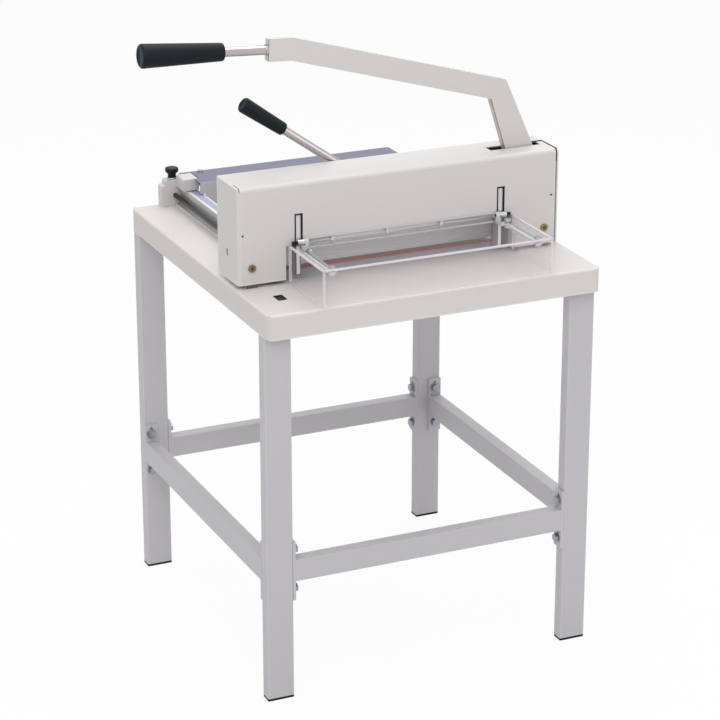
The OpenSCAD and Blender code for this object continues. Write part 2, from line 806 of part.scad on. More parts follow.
module front_cover() {
    color("#d6d3d1") difference() {
        union() {
            difference() {
                cover_form(0, cover_x1, house_y1, house_z0, house_z1 + over);
                cover_form(cover_t, cover_x1 + over, house_y1 + over, house_z0 - over,
                    house_z1 + over);
            }
            for (x = [throat_x - cover_t, throat_x1])
                box([x, x + cover_t], [cover_y1 - hair_gap, cover_y1 + return_d],
                    [house_z0, throat_z]);
        }
        box([throat_x, throat_x1], [housing_front_y - over, cover_y1 + over],
            [house_z0 - over, throat_z]);
        for (x = slot_xs) box([x - slot_w / 2, x + slot_w / 2],
            [housing_front_y - over, cover_y1 + over], [throat_z - over, throat_z + slot_h]);
        for (x = [house_x0 + small_hole_x, cover_x1 - small_hole_x + gasket_t])
            round_y(small_hole_r, x, small_hole_z, [housing_front_y - over, cover_y1 + over]);
        for (x = lock_xs) round_y(lock_shank_r + hair_gap, x, lock_z,
            [housing_front_y - over, cover_y1 + over]);
        for (x = strip_screw_xs) round_y(strip_screw_r + hair_gap, x, strip_screw_z,
            [housing_front_y - over, cover_y1 + over]);
        box([arm_slot_x0, arm_slot_x1], [arm_slot_y0, arm_slot_y1],
            [inner_top_z - over, house_z1 + over]);
        box([arm_slot_x1 - over, cover_x1 + over], [arm_slot_y1 - slit_w, arm_slot_y1],
            [inner_top_z - over, house_z1 + over]);
        side_slot_y = housing_front_y + house_d * 0.53;
        side_slot_z = house_z0 + throat_h * 0.79;
        side_slot_r = small_hole_r * 1.4;
        slab_x([house_x0 - over, house_x0 + cover_t + over])
            stadium([side_slot_y, side_slot_z - side_slot_r], [side_slot_y, side_slot_z + side_slot_r],
                side_slot_r);
    }
}

rear_cover_z0 = clamp_z0 + clamp_foot_h + clamp_rise_max + side_gap;

module rear_cover() {
    color("#d6d3d1") difference() {
        box([house_x0 + cover_t, cover_x1], [rear_cover_y0, house_y1],
            [rear_cover_z0, inner_top_z]);
        round_y(bearing_r + run_gap, clamp_x, clamp_pz, [rear_cover_y0 - over, house_y1 + over]);
    }
}

module end_area(inset, grow) {
    bent_area([housing_front_y + inset - grow, house_y1 - inset + grow],
        [house_z0 + inset - grow, house_z1 - inset + grow], bend_r);
}

module right_end_cover() {
    color("#d6d3d1") {
        slab_x([house_x1 - end_cover_t, house_x1]) end_area(0, 0);
        box([cover_x1 + hair_gap, house_x1 - end_cover_t + over],
            [arm_slot_y1 + hair_gap, house_y1], [inner_top_z, house_z1]);
    }
}

module end_gasket() {
    color("#3a3a3e") difference() {
        slab_x([cover_x1, cover_x1 + gasket_t]) end_area(0, hair_gap * 5);
        slab_x([cover_x1 - over, cover_x1 + gasket_t + over]) end_area(gasket_w, 0);
        box([cover_x1 - over, cover_x1 + gasket_t + over], [arm_slot_y1, house_y1 + 2 * over],
            [inner_top_z - hair_gap, house_z1 + 2 * over]);
    }
}

bracket_post_w = 22;
bracket_post_d = 20;

module cover_brackets() {
    color("#a6a7aa") for (x = lock_xs) difference() {
        box([x - bracket_post_w / 2, x + bracket_post_w / 2], [cover_y1, cover_y1 + bracket_post_d],
            [table_top_z, lock_z + bracket_post_w / 2]);
        round_y(lock_shank_r, x, lock_z, [cover_y1 - over, cover_y1 + bracket_post_d + over]);
    }
}

module cover_lock_screws() {
    head_h = 2.5;
    socket_r = 3;
    color("#b89b5e") for (x = lock_xs) difference() {
        union() {
            round_y(lock_screw_d / 2, x, lock_z, [housing_front_y - head_h, housing_front_y]);
            round_y(lock_shank_r, x, lock_z, [housing_front_y - over, cover_y1 + bracket_post_d / 2]);
        }
        translate([x, housing_front_y - head_h - over, lock_z]) rotate([-90, 0, 0])
            cylinder(r = socket_r, h = head_h, $fn = 6);
    }
}

module clear_strip() {
    color("#dfe6ea", 0.4) difference() {
        box(strip_x, [housing_front_y - strip_t, housing_front_y], [strip_z, strip_z + strip_h]);
        for (x = strip_screw_xs) round_y(strip_screw_r + hair_gap, x, strip_screw_z,
            [housing_front_y - strip_t - over, housing_front_y + over]);
    }
}

module strip_screws() {
    color("#b9babd") for (x = strip_screw_xs) {
        round_y(strip_head_r, x, strip_screw_z,
            [housing_front_y - strip_t - strip_head_h, housing_front_y - strip_t]);
        round_y(strip_screw_r, x, strip_screw_z,
            [housing_front_y - strip_t - over, cover_y1 + over]);
        round_y(strip_head_r, x, strip_screw_z, [cover_y1, cover_y1 + strip_head_h]);
    }
}

// Side frames: each stands on the table and leaves a channel for the knife
channel_y0 = knife_y0 - 2 * run_gap;
channel_y1 = clamp_y0 - run_gap;
frame_z0 = table_top_z + frame_base_h;
crank_clear_z = pivot_z - crank_r * sin(crank_rest_deg + swing_deg) - eye_r - 3 * layer_gap;
frame_bolt_r = 4;
frame_bolt_head_r = 7;
frame_bolt_z = [rear_z0 + frame_t / 2, rear_z1 - frame_t / 2];
frame_bolt_xs = [throat_x - frame_t / 2, throat_x1 + frame_t / 2];
frame_bolt_len = 5;

module side_frame(x0, open_for_crank) {
    x = [x0, x0 + frame_t];
    front_z1 = open_for_crank ? crank_clear_z : inner_top_z;
    color("#aeb0b3") difference() {
        union() {
            box(x, [beam_y0 - side_gap, rear_y0], [table_top_z, frame_z0]);
            box(x, [beam_y0 - side_gap, channel_y0], [table_top_z, beam_z0]);
            box(x, [beam_y1, channel_y0], [table_top_z, inner_top_z]);
            box(x, [channel_y1, rear_y0], [table_top_z, inner_top_z]);
        }
        if (open_for_crank) box([x[0] - over, x[1] + over], [beam_y1, channel_y0 + over],
            [front_z1, inner_top_z + over]);
        for (z = frame_bolt_z) round_y(frame_bolt_r, x0 + frame_t / 2, z,
            [channel_y1 - over, rear_y0 + over]);
        if (!open_for_crank) round_y(rod_r + pin_gap, rod_x, rod_z, [rod_y0 - frame_t / 4, rear_y0 + over]);
    }
}

module side_frame_left() { side_frame(frame_x0, false); }
module side_frame_right() { side_frame(throat_x1, true); }

module front_beam() {
    color("#a2a4a8") difference() {
        union() {
            box([beam_x0, beam_x1], [beam_y0, beam_y1], [beam_z0, beam_z1]);
            round_y(pivot_r + bearing_wall, pivot_x, pivot_z, [beam_y1 - over, beam_y1 + boss_h]);
        }
        round_y(pivot_r, pivot_x, pivot_z, [beam_y0 - over, beam_y1 + boss_h + over]);
        for (x = stud_xs) round_y(stud_thread_r, x, stud_z, [beam_y0 - over, beam_y1 + over]);
    }
}

module rear_plate() {
    color("#a2a4a8") difference() {
        union() {
            box([beam_x0, beam_x1], [rear_y0, rear_y1], [rear_z0, rear_z1]);
            round_y(pivot_r + bearing_wall, pivot_x, pivot_z, [arm_y1 + run_gap, rear_y0 + over]);
            round_y(bearing_r, clamp_x, clamp_pz, [rear_y0, bearing_y1]);
        }
        round_y(pivot_r, pivot_x, pivot_z, [arm_y1 - over, rear_y1 + over]);
        round_y(clamp_shaft_r + pin_gap, clamp_x, clamp_pz, [rear_y0 - over, bearing_y1 + over]);
        for (x = frame_bolt_xs, z = frame_bolt_z)
            round_y(frame_bolt_r + hair_gap, x, z, [rear_y0 - over, rear_y1 + over]);
    }
}

module frame_bolts() {
    color("#8e9094") for (x = frame_bolt_xs, z = frame_bolt_z) {
        round_y(frame_bolt_head_r, x, z, [rear_y1, rear_y1 + bolt_head_h]);
        round_y(frame_bolt_r, x, z, [rear_y0 - frame_bolt_len, rear_y1 + over]);
    }
}

module guide_studs() {
    color("#8e9094") for (x = stud_xs) {
        round_y(stud_thread_r, x, stud_z, [beam_y0, beam_y1 + over]);
        round_y(stud_head_r, x, stud_z, [beam_y1, knife_y0 - run_gap]);
        round_y(stud_r, x, stud_z, [knife_y0 - run_gap - over, knife_y1 - 2 * run_gap]);
    }
}

module pivot_shaft() {
    color("#8e9094") round_y(pivot_r, pivot_x, pivot_z, [beam_y0, rear_y1]);
}

// Cutting lever: the arm, its hub and its crank are one casting
module link_area(a, b, ra, rb) {
    waist_share = 0.94;
    l = link_side(a, b, ra * waist_share, rb * waist_share, 1);
    r = link_side(a, b, ra * waist_share, rb * waist_share, -1);
    polygon(concat(l, backwards(r)));
}

module arm_area() {
    polygon(concat(bar_side(arm_line, arm_widths, 1), backwards(bar_side(arm_line, arm_widths, -1))));
}

module lever_arm() {
    groove_t = 3;
    groove_lip = 1.6;
    groove_y = arm_y0 + groove_lip;
    color("#dedbd8") difference() {
        union() {
            slab_y([arm_y0, arm_y1]) arm_area();
            slab_y([arm_y0, arm_y1]) link_area([pivot_x, pivot_z], [pin_x, pin_z], hub_r, eye_r);
            round_y(hub_r, pivot_x, pivot_z, [arm_y0, arm_y1]);
            round_y(eye_r, pin_x, pin_z, [arm_y0, arm_y1]);
        }
        difference() {
            slab_y([groove_y, groove_y + groove_t]) arm_area();
            slab_y([groove_y - over, groove_y + groove_t + over])
                translate([arm_groove_d, arm_groove_d]) arm_area();
            box([arm_slot_x0 - arm_reach, house_x1], [arm_y0, arm_y1], [table_top_z, house_z1 + side_gap]);
        }
        round_y(pivot_r + pin_gap, pivot_x, pivot_z, [arm_y0 - over, arm_y1 + over]);
        round_y(drive_pin_r, pin_x, pin_z, [arm_y0 - over, arm_y1 + over]);
        at_tip() translate([0, 0, -rod_seat]) cylinder(r = rod_stub_r, h = rod_seat + 2 * over);
    }
}

module drive_pin() {
    color("#8e9094") round_y(drive_pin_r, pin_x, pin_z, [arm_y0, knife_y1 - 2 * run_gap]);
}

// The rod's axis, pointing away from the arm's tip
rod_seat = 20;
rod_stub_r = 5;
collar_r = 9.5;
collar_h = 4;
module at_tip() {
    translate([arm_line[0][0], (arm_y0 + arm_y1) / 2, arm_line[0][1]])
        rotate([0, lever_tilt_deg - 90, 0]) children();
}

module lever_rod() {
    color("#b7b2b0") at_tip() {
        translate([0, 0, -rod_seat]) cylinder(r = rod_stub_r, h = rod_seat + over);
        cylinder(r = collar_r, h = collar_h);
        cylinder(r = lever_rod_d / 2, h = lever_rod_len);
        translate([0, 0, lever_rod_len - over]) cylinder(r = rod_stub_r, h = 2 * rod_seat + over);
    }
}

// A grip turned about its axis, rounded at both ends, with a blind hole
module grip(len, neck_r, end_r, hole_r, hole_len) {
    neck_round = neck_r / 3;
    end_round = end_r / 4;
    difference() {
        rotate_extrude() {
            polygon([[0, 0], [neck_r - neck_round, 0], [neck_r, neck_round],
                [end_r, len - end_round], [end_r - end_round, len], [0, len]]);
            translate([neck_r - neck_round, neck_round]) circle(r = neck_round);
            intersection() {
                translate([end_r - end_round, len - end_round]) circle(r = end_round);
                area([0, end_r], [0, len]);
            }
        }
        translate([0, 0, -over]) cylinder(r = hole_r, h = hole_len + over);
    }
}

module lever_grip() {
    color("#1e2a33") at_tip() translate([0, 0, lever_rod_len])
        grip(lever_grip_len, lever_grip_neck_d / 2, lever_grip_d / 2, rod_stub_r, 2 * rod_seat);
}

// Knife beam with its slanted guide slots and the blade behind it
travel_dir = [sin(travel_deg), -cos(travel_deg)];
across_dir = [cos(travel_deg), sin(travel_deg)];

module knife_beam() {
    color("#8f9196") difference() {
        box([knife_x0, knife_x1], [knife_y0, knife_y1], [knife_z0, knife_z1]);
        slab_y([knife_y0 - over, knife_y1 + over]) {
            for (x = stud_xs) stadium([x, stud_z] + travel_dir * run_gap,
                [x, stud_z] - travel_dir * (knife_travel + run_gap), slot_r);
            stadium([pin_x, pin_z] - across_dir * (sagitta + run_gap),
                [pin_x, pin_z] + across_dir * (sagitta + run_gap), pin_slot_r);
        }
        for (x = blade_bolt_xs) {
            round_y(blade_bolt_r + hair_gap, x, blade_bolt_z, [knife_y0 - over, knife_y1 + over]);
            round_y(blade_bolt_head_r + hair_gap, x, blade_bolt_z,
                [knife_y0 - over, knife_y0 + blade_bolt_head_h]);
        }
    }
}

module blade() {
    bevel_share = 0.88;
    color("#c9cbce") difference() {
        slab_x([blade_x0, blade_x1]) polygon([[knife_y1, blade_z1], [knife_y1, edge_z + bevel_h],
            [knife_y1 + blade_t * bevel_share, edge_z], [blade_y1, edge_z], [blade_y1, blade_z1]]);
        for (x = blade_bolt_xs) round_y(blade_bolt_r, x, blade_bolt_z,
            [knife_y1 - over, blade_y1 + over]);
    }
}

module blade_bolts() {
    color("#5c5e62") for (x = blade_bolt_xs) {
        round_y(blade_bolt_head_r, x, blade_bolt_z,
            [knife_y0 + hair_gap, knife_y0 + blade_bolt_head_h]);
        round_y(blade_bolt_r, x, blade_bolt_z,
            [knife_y0 + blade_bolt_head_h - over, blade_y1]);
    }
}

// Rack tooth and gear outlines
module rack_tooth(z) {
    half = (tooth_module * PI / 2 - backlash) / 2;
    add = tooth_module;
    ded = tooth_module * 1.25;
    lean = tan(pressure_deg);
    translate([rack_x, z]) polygon([[-ded, half + ded * lean], [add, half - add * lean],
        [add, -half + add * lean], [-ded, -half - ded * lean]]);
}

module gear_area() {
    base_r = pitch_r * cos(pressure_deg);
    root_r = pitch_r - tooth_module * 1.25;
    half_deg = 90 / pinion_teeth - backlash / pitch_r * 45 / PI;
    flank_deg = polar_deg(involute(base_r, roll_deg(base_r, pitch_r)));
    steps = 6;
    roll_max = roll_deg(base_r, tip_r);
    flank = [for (i = [0:steps]) turned(involute(base_r, roll_max * i / steps),
        -flank_deg - half_deg)];
    tooth = concat([turned([root_r * 0.98, 0], -flank_deg - half_deg)], flank,
        [for (p = backwards(flank)) [p[0], -p[1]]],
        [turned([root_r * 0.98, 0], flank_deg + half_deg)]);
    circle(r = root_r);
    for (i = [0:pinion_teeth - 1]) rotate(i * 360 / pinion_teeth) polygon(tooth);
}

module clamp_pinion() {
    boss_r = clamp_shaft_r + hinge_wall;
    color("#8e9094") {
        translate([clamp_x, 0, clamp_pz]) slab_y([clamp_y0, clamp_y1]) gear_area();
        round_y(clamp_shaft_r, clamp_x, clamp_pz, [clamp_y0, clamp_hub_y1 - hinge_wall]);
        round_y(boss_r, clamp_x, clamp_pz, [clamp_y0, clamp_y1 + run_gap]);
    }
}

// Clamp: a web with a notch round the pinion, a rack and a foot
module clamp_beam() {
    notch_x = [rack_x + tooth_module, clamp_x + tip_r + 2 * layer_gap];
    notch_z = clamp_pz - tip_r - clamp_rise_max - layer_gap;
    slope_w = clamp_foot_d / 2;
    lip_t = 1.5;
    color("#a9abb0") {
        slab_y([clamp_y0, clamp_y1]) {
            difference() {
                union() {
                    area([clamp_x0, clamp_x1], [clamp_z0, clamp_web_z1]);
                    area([rack_x - rack_back, rack_x - tooth_module * 1.2],
                        [clamp_z0 + clamp_foot_h, rack_z1]);
                }
                area([rack_x - tooth_module * 1.2, notch_x[1]], [notch_z, clamp_web_z1 + over]);
            }
            for (i = [-rack_steps_down:rack_steps_up]) {
                z = clamp_pz + (i + 0.5) * tooth_module * PI;
                if (z > notch_z + 2 * tooth_module) rack_tooth(z);
            }
        }
        slab_x([clamp_x0, clamp_x1]) polygon([[clamp_y0, clamp_z0],
            [clamp_y0 + clamp_foot_d, clamp_z0],
            [clamp_y0 + clamp_foot_d, clamp_z0 + clamp_foot_h / 2],
            [clamp_y0 + slope_w, clamp_z0 + clamp_foot_h],
            [clamp_y0, clamp_z0 + clamp_foot_h]]);
        box([clamp_x0, clamp_x1], [clamp_y0 - lip_t / 2, clamp_y0 + over],
            [clamp_z0, clamp_z0 + 2 * lip_t]);
    }
}

// The clamp lever's axis, pointing up along its rod
module at_clamp_lever() {
    translate([clamp_x, clamp_lever_y, clamp_pz]) rotate([0, clamp_lever_deg - 90, 0]) children();
}

clamp_stub_r = clamp_rod_d / 2 - tube_wall;
clamp_socket_len = 8;
clamp_socket = clamp_hub_r + clamp_socket_len;
clamp_rod_tip_r = 3.5;

module clamp_hub() {
    color("#b9babd") difference() {
        union() {
            round_y(clamp_hub_r, clamp_x, clamp_pz, [clamp_hub_y0, clamp_hub_y1]);
            at_clamp_lever() cylinder(r = hub_len / 2 - hair_gap, h = clamp_socket);
        }
        round_y(clamp_shaft_r, clamp_x, clamp_pz, [clamp_hub_y0 - over, clamp_hub_y1 - hinge_wall]);
        at_clamp_lever() translate([0, 0, clamp_hub_r - hinge_wall])
            cylinder(r = clamp_rod_tip_r, h = clamp_socket);
    }
}

module clamp_rod() {
    color("#b7b2b0") at_clamp_lever() {
        translate([0, 0, clamp_hub_r - hinge_wall]) cylinder(r = clamp_rod_tip_r, h = clamp_rod_d);
        translate([0, 0, clamp_socket])
            cylinder(r = clamp_rod_d / 2, h = clamp_rod_len - clamp_socket);
        translate([0, 0, clamp_rod_len - over]) cylinder(r = clamp_stub_r, h = rod_seat + over);
    }
}

module clamp_grip() {
    color("#1e2a33") at_clamp_lever() translate([0, 0, clamp_rod_len])
        grip(clamp_grip_len, clamp_grip_neck_d / 2, clamp_grip_d / 2, clamp_stub_r, rod_seat);
}

// Guard: clear panels on two arms that hinge on the front posts
notch_half = slot_w + guard_arm_w / 2;

module guard_posts() {
    color("#c4c5c8") for (x = slot_xs)
        box([x - post_w / 2, x + post_w / 2], [post_y0, beam_y0], [post_z0, post_z1]);
}

module guard_hinge_brackets() {
    color("#c9cacd") for (x = slot_xs) difference() {
        union() {
            round_x(knuckle_r, hinge_y, hinge_z, [x - bracket_w / 2, x + bracket_w / 2]);
            box([x - bracket_w / 2, x + bracket_w / 2], [hinge_y, post_y0],
                [hinge_z - knuckle_r, hinge_z + knuckle_r]);
        }
        round_x(hinge_pin_r, hinge_y, hinge_z, [x - bracket_w, x + bracket_w]);
    }
}

module guard_hinge_pins() {
    stub = bracket_w * 0.7;
    color("#222326") for (i = [0, 1]) {
        x = slot_xs[i];
        s = i == 0 ? 1 : -1;
        translate([x, hinge_y, hinge_z]) rotate([0, s * 90, 0])
            translate([0, 0, -bracket_w / 2 - stub])
                cylinder(r = hinge_pin_r, h = bracket_w + stub + run_gap + knuckle_w);
    }
}

module guard_top() {
    color("#dfe6ea", 0.35) difference() {
        box([guard_x0 + guard_t, guard_x1 - guard_t], [guard_y0 + guard_t, guard_y1],
            [guard_z1 - guard_t, guard_z1]);
        for (x = slot_xs) {
            box([x - notch_half, x + notch_half],
                [hinge_y - knuckle_r - layer_gap, guard_y1 + over],
                [guard_z1 - guard_t - over, guard_z1 + over]);
            for (y = screw_ys) round_z(screw_r + hair_gap, x, y,
                [guard_z1 - guard_t - over, guard_z1 + over]);
        }
    }
}

module guard_front() {
    color("#dfe6ea", 0.35) box([guard_x0, guard_x1], [guard_y0, guard_y0 + guard_t],
        [guard_z0, guard_z1]);
}

module guard_sides() {
    color("#dfe6ea", 0.35) for (x = [guard_x0, guard_x1 - guard_t])
        box([x, x + guard_t], [guard_y0 + guard_t, guard_y1], [guard_z0, guard_z1]);
}

module guard_arms() {
    color("#d4d5d8") for (i = [0, 1]) {
        x = slot_xs[i];
        s = i == 0 ? 1 : -1;
        knuckle_at = x + s * (bracket_w + knuckle_w + 2 * run_gap) / 2;
        knuckle = [knuckle_at - knuckle_w / 2, knuckle_at + knuckle_w / 2];
        tail_y0 = guard_arm_y1 - arm_tail;
        difference() {
            union() {
                box([x - guard_arm_w / 2, x + guard_arm_w / 2],
                    [guard_y0 + guard_t, guard_arm_y1], [arm_z0, arm_z1]);
                box([min(x, knuckle[0]), max(x, knuckle[1])], [tail_y0, guard_arm_y1],
                    [arm_z0, arm_z1]);
                box(knuckle, [tail_y0, hinge_y], [arm_z0, arm_z1]);
                box(knuckle, [hinge_y - knuckle_r, hinge_y], [arm_z0, hinge_z]);
                round_x(knuckle_r, hinge_y, hinge_z, knuckle);
            }
            round_x(hinge_pin_r + pin_gap, hinge_y, hinge_z, [knuckle[0] - over, knuckle[1] + over]);
            for (y = screw_ys) round_z(screw_r + hair_gap, x, y, [arm_z0 - over, arm_z1 + over]);
        }
    }
}

module guard_screws() {
    nut_h = 4;
    color("#bfc0c3") for (x = slot_xs, y = screw_ys) {
        round_z(screw_head_r, x, y, [guard_z1, guard_z1 + screw_head_h]);
        round_z(screw_r, x, y, [arm_z0 - nut_h, guard_z1 + over]);
        round_z(screw_head_r, x, y, [arm_z0 - nut_h, arm_z0]);
    }
}

// Side lay, guide rod and back gauge
lay_y0 = clamp_y0 + clamp_foot_d + layer_gap;
lay_y1 = table_d - plate_t;
lay_x1 = side_lay_x0 + side_lay_w;
lay_web_t = 6;
base_strip_w = 9;
base_strip_h = 4;

module guide_rod() {
    color("#9b9ca0") round_y(rod_r, rod_x, rod_z, [rod_y0, rod_y1]);
}

module rod_bracket() {
    half = 3 * rod_r;
    color("#aeb0b3") difference() {
        box([rod_x - half, rod_x + half], [table_d, table_d + bracket_t],
            [table_z0 + table_h / 3, rod_z + 2 * rod_r]);
        round_y(rod_r + hair_gap, rod_x, rod_z, [table_d - over, table_d + bracket_t + over]);
        for (s = [-1, 1]) round_y(rod_r / 2, rod_x + s * half * 0.6, table_z0 + table_h * 0.55,
            [table_d - over, table_d + bracket_t + over]);
    }
}

module base_strip() {
    color("#d9d6d3") box([rod_x, rod_x + base_strip_w], [lay_y0, lay_y1],
        [table_top_z, table_top_z + base_strip_h]);
}

module side_lay() {
    color("#d0cecd") {
        box([side_lay_x0, lay_x1], [lay_y0, lay_y1], [lay_z0, lay_z1]);
        box([lay_x1 - lay_web_t, lay_x1], [lay_y0, lay_y1], [table_top_z, lay_z0 + over]);
        box([side_lay_x0, lay_x1], [lay_y1 - lay_web_t, lay_y1], [table_top_z, lay_z0 + over]);
    }
}

module scale_strip() {
    scale_w_share = 0.56;
    scale_at_share = 0.26;
    x0 = side_lay_x0 + side_lay_w * scale_at_share;
    color("#b4b8d8") box([x0, x0 + side_lay_w * scale_w_share], [lay_y0, lay_y1],
        [lay_z1, lay_z1 + scale_t]);
}

gauge_arm_y0 = block_y0 - block_d * 0.6;
gauge_arm_inset = 4;
gauge_arm_y1 = block_y1 - gauge_arm_inset;
pad_r = 8;
pad_x = gauge_arm_x1 - pad_r;
pad_y = fence_y1 - pad_r;

module gauge_block() {
    round_r = 4;
    shoulder_w = 8;
    shoulder_drop = 10;
    color("#d3d0cd") difference() {
        union() {
            slab_y([block_y0, block_y1]) {
                crowned_area([block_x0 + shoulder_w, block_x1], [block_z0, block_z1], round_r);
                crowned_area([block_x0, block_x1], [block_z0, block_z1 - shoulder_drop], round_r);
            }
            slab_x([block_x1 - 2 * round_r, gauge_arm_x1])
                crowned_area([gauge_arm_y0, gauge_arm_y1], [gauge_arm_z0, block_z1], round_r);
            slab_y([casting_y0, casting_y1])
                crowned_area([block_x1 - 2 * round_r, casting_x1], [gauge_arm_z0, fence_z1],
                    round_r);
            round_z(pad_r, pad_x, pad_y, [gauge_arm_z0 + over, fence_z1 - fence_t]);
        }
        round_y(rod_r + pin_gap, rod_x, rod_z, [block_y0 - over, block_y1 + over]);
        box([rod_x - run_gap, block_x1 + over], [block_y0 - over, block_y1 + over],
            [table_top_z, table_top_z + base_strip_h + run_gap]);
        round_z(knob_stud_r + pin_gap, knob_x, knob_y,
            [block_z1 - knob_stud_len - layer_gap, block_z1 + over]);
        round_z(screw_r, pad_x, pad_y, [block_z1 - pad_r, fence_z1]);
    }
}

module gauge_fence() {
    color("#7c7c8e") difference() {
        union() {
            box([fence_face_x0, fence_x1], [fence_y0, fence_y0 + fence_t],
                [table_top_z + fence_lift, fence_z1]);
            box([fence_x0, fence_face_x0 + over], [fence_y0, fence_y0 + fence_t],
                [gauge_arm_z0, fence_z1]);
            box([fence_x0, fence_x1], [fence_y0, fence_y1], [fence_z1 - fence_t, fence_z1]);
            box([fence_x0 - fence_tail, fence_x0 + over], [casting_y1 + run_gap, fence_y1],
                [fence_z1 - fence_t, fence_z1]);
        }
        box([fence_x0 - over, casting_x1 + run_gap], [casting_y0 - run_gap, casting_y1 + run_gap],
            [gauge_arm_z0, fence_z1 + over]);
        round_z(screw_r + hair_gap, pad_x, pad_y, [fence_z1 - fence_t - over, fence_z1 + over]);
    }
}

module gauge_screw() {
    button_h = 3.5;
    button_r = 5.5;
    color("#c4c5c8") {
        round_z(button_r, pad_x, pad_y, [fence_z1, fence_z1 + button_h]);
        round_z(screw_r, pad_x, pad_y, [block_z1 - pad_r, fence_z1 + over]);
    }
}

module gauge_knob() {
    head_share = [[0.84, 0.52], [1, 0.66], [1, 0.88], [0.88, 1]];
    neck_share = 0.42;
    color("#191a1c") translate([knob_x, knob_y, block_z1]) {
        rotate_extrude() polygon(concat(
            [[0, 0], [washer_r, 0], [washer_r, washer_h], [knob_neck_r, washer_h],
                [knob_neck_r, washer_h + knob_h * neck_share]],
            [for (p = head_share) [knob_d / 2 * p[0], washer_h + knob_h * p[1]]],
            [[0, washer_h + knob_h]]));
        translate([0, 0, -knob_stud_len]) cylinder(r = knob_stud_r, h = knob_stud_len + over);
    }
}

at_origin() table_top();
at_origin() table_plug();
at_origin() table_plate();
at_origin() cutting_stick();
at_origin() table_bolts();
at_origin() leg_front_left();
at_origin() leg_front_right();
at_origin() leg_back_left();
at_origin() leg_back_right();
at_origin() foot_caps();
at_origin() stretcher_front();
at_origin() stretcher_back();
at_origin() stretcher_left();
at_origin() stretcher_right();
at_origin() stretcher_bolts();
at_origin() front_cover();
at_origin() rear_cover();
at_origin() right_end_cover();
at_origin() end_gasket();
at_origin() cover_brackets();
at_origin() cover_lock_screws();
at_origin() side_frame_left();
at_origin() side_frame_right();
at_origin() front_beam();
at_origin() rear_plate();
at_origin() frame_bolts();
at_origin() guide_studs();
at_origin() pivot_shaft();
at_origin() guard_posts();
at_origin() guard_hinge_brackets();
at_origin() guard_hinge_pins();
at_origin() clear_strip();
at_origin() strip_screws();
at_origin() guide_rod();
at_origin() rod_bracket();
at_origin() base_strip();
at_origin() side_lay();
at_origin() scale_strip();
at_origin() lever_arm();
at_origin() drive_pin();
at_origin() lever_rod();
at_origin() lever_grip();
at_origin() knife_beam();
at_origin() blade();
at_origin() blade_bolts();
at_origin() clamp_beam();
at_origin() clamp_pinion();
at_origin() clamp_hub();
at_origin() clamp_rod();
at_origin() clamp_grip();
at_origin() guard_top();
at_origin() guard_front();
at_origin() guard_sides();
at_origin() guard_arms();
at_origin() guard_screws();
at_origin() gauge_block();
at_origin() gauge_fence();
at_origin() gauge_screw();
at_origin() gauge_knob();
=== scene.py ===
"""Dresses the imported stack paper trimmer: finishes, fine pieces, light and camera."""

import logging
import math
from dataclasses import dataclass
from enum import Enum

import bmesh
import bpy
import numpy as np
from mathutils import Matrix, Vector


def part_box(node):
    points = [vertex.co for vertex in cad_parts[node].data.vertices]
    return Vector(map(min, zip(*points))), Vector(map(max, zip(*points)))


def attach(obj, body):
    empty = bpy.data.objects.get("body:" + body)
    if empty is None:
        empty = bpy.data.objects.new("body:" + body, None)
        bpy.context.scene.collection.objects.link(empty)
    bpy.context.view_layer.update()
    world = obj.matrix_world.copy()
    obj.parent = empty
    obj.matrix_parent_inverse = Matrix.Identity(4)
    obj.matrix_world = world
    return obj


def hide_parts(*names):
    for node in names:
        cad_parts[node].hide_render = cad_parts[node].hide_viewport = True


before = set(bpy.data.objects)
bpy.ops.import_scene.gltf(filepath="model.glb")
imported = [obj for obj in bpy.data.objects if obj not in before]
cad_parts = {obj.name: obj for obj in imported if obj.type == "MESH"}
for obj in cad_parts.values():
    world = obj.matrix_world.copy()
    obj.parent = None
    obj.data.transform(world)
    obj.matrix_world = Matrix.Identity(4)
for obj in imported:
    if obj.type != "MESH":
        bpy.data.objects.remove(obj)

LOG = logging.getLogger("trimmer")
MM = 0.001
# The table's front left corner, which the part's source measures from, in the frame's millimetres
TABLE_CORNER = np.array([-245.661, -340.1, 0.0])


class Look(Enum):
    """The families of finish that the machine's pieces have."""

    PAINT = "paint"
    BRUSHED = "brushed"
    PLATED = "plated"
    FOAM = "foam"
    PLASTIC = "plastic"
    CLEAR = "clear"
    RULE = "rule"


def linear(code: str) -> tuple[float, float, float, float]:
    """Turns a written screen colour into the linear colour that shaders use.

    Args:
        code: the colour as six hexadecimal digits.

    Returns:
        Linear red, green, blue and an alpha of one.
    """
    parts = np.array([int(code[i:i + 2], 16) for i in (0, 2, 4)]) / 255.0
    low = parts / 12.92
    high = ((parts + 0.055) / 1.055) ** 2.4
    return (*np.where(parts <= 0.04045, low, high).tolist(), 1.0)


@dataclass(frozen=True)
class Finish:
    """One finish: a look, its colour and how fine and strong its surface is.

    The tint and bump are strengths, grain is the fine noise's scale, edge is the strength of a
    painted highlight along a piece's edges, front is the colour of what faces the front (two-tone
    paint on the fence, painted shade on the uprights and painted light on the posts), gloss is the
    shader's specular level, and band is a second colour with its axis's number and where it starts
    and ends (painted shade in the arm's groove and on the end seal's upper part).
    """

    name: str
    look: Look
    colour: str
    roughness: float = 0.45
    tint: float = 0.03
    bump: float = 0.08
    grain: float = 900.0
    edge: float = 0.0
    coat: float = 0.0
    alpha: float = 1.0
    front: str = ""
    gloss: float = 0.5
    band: tuple[str, int, float, float] | None = None


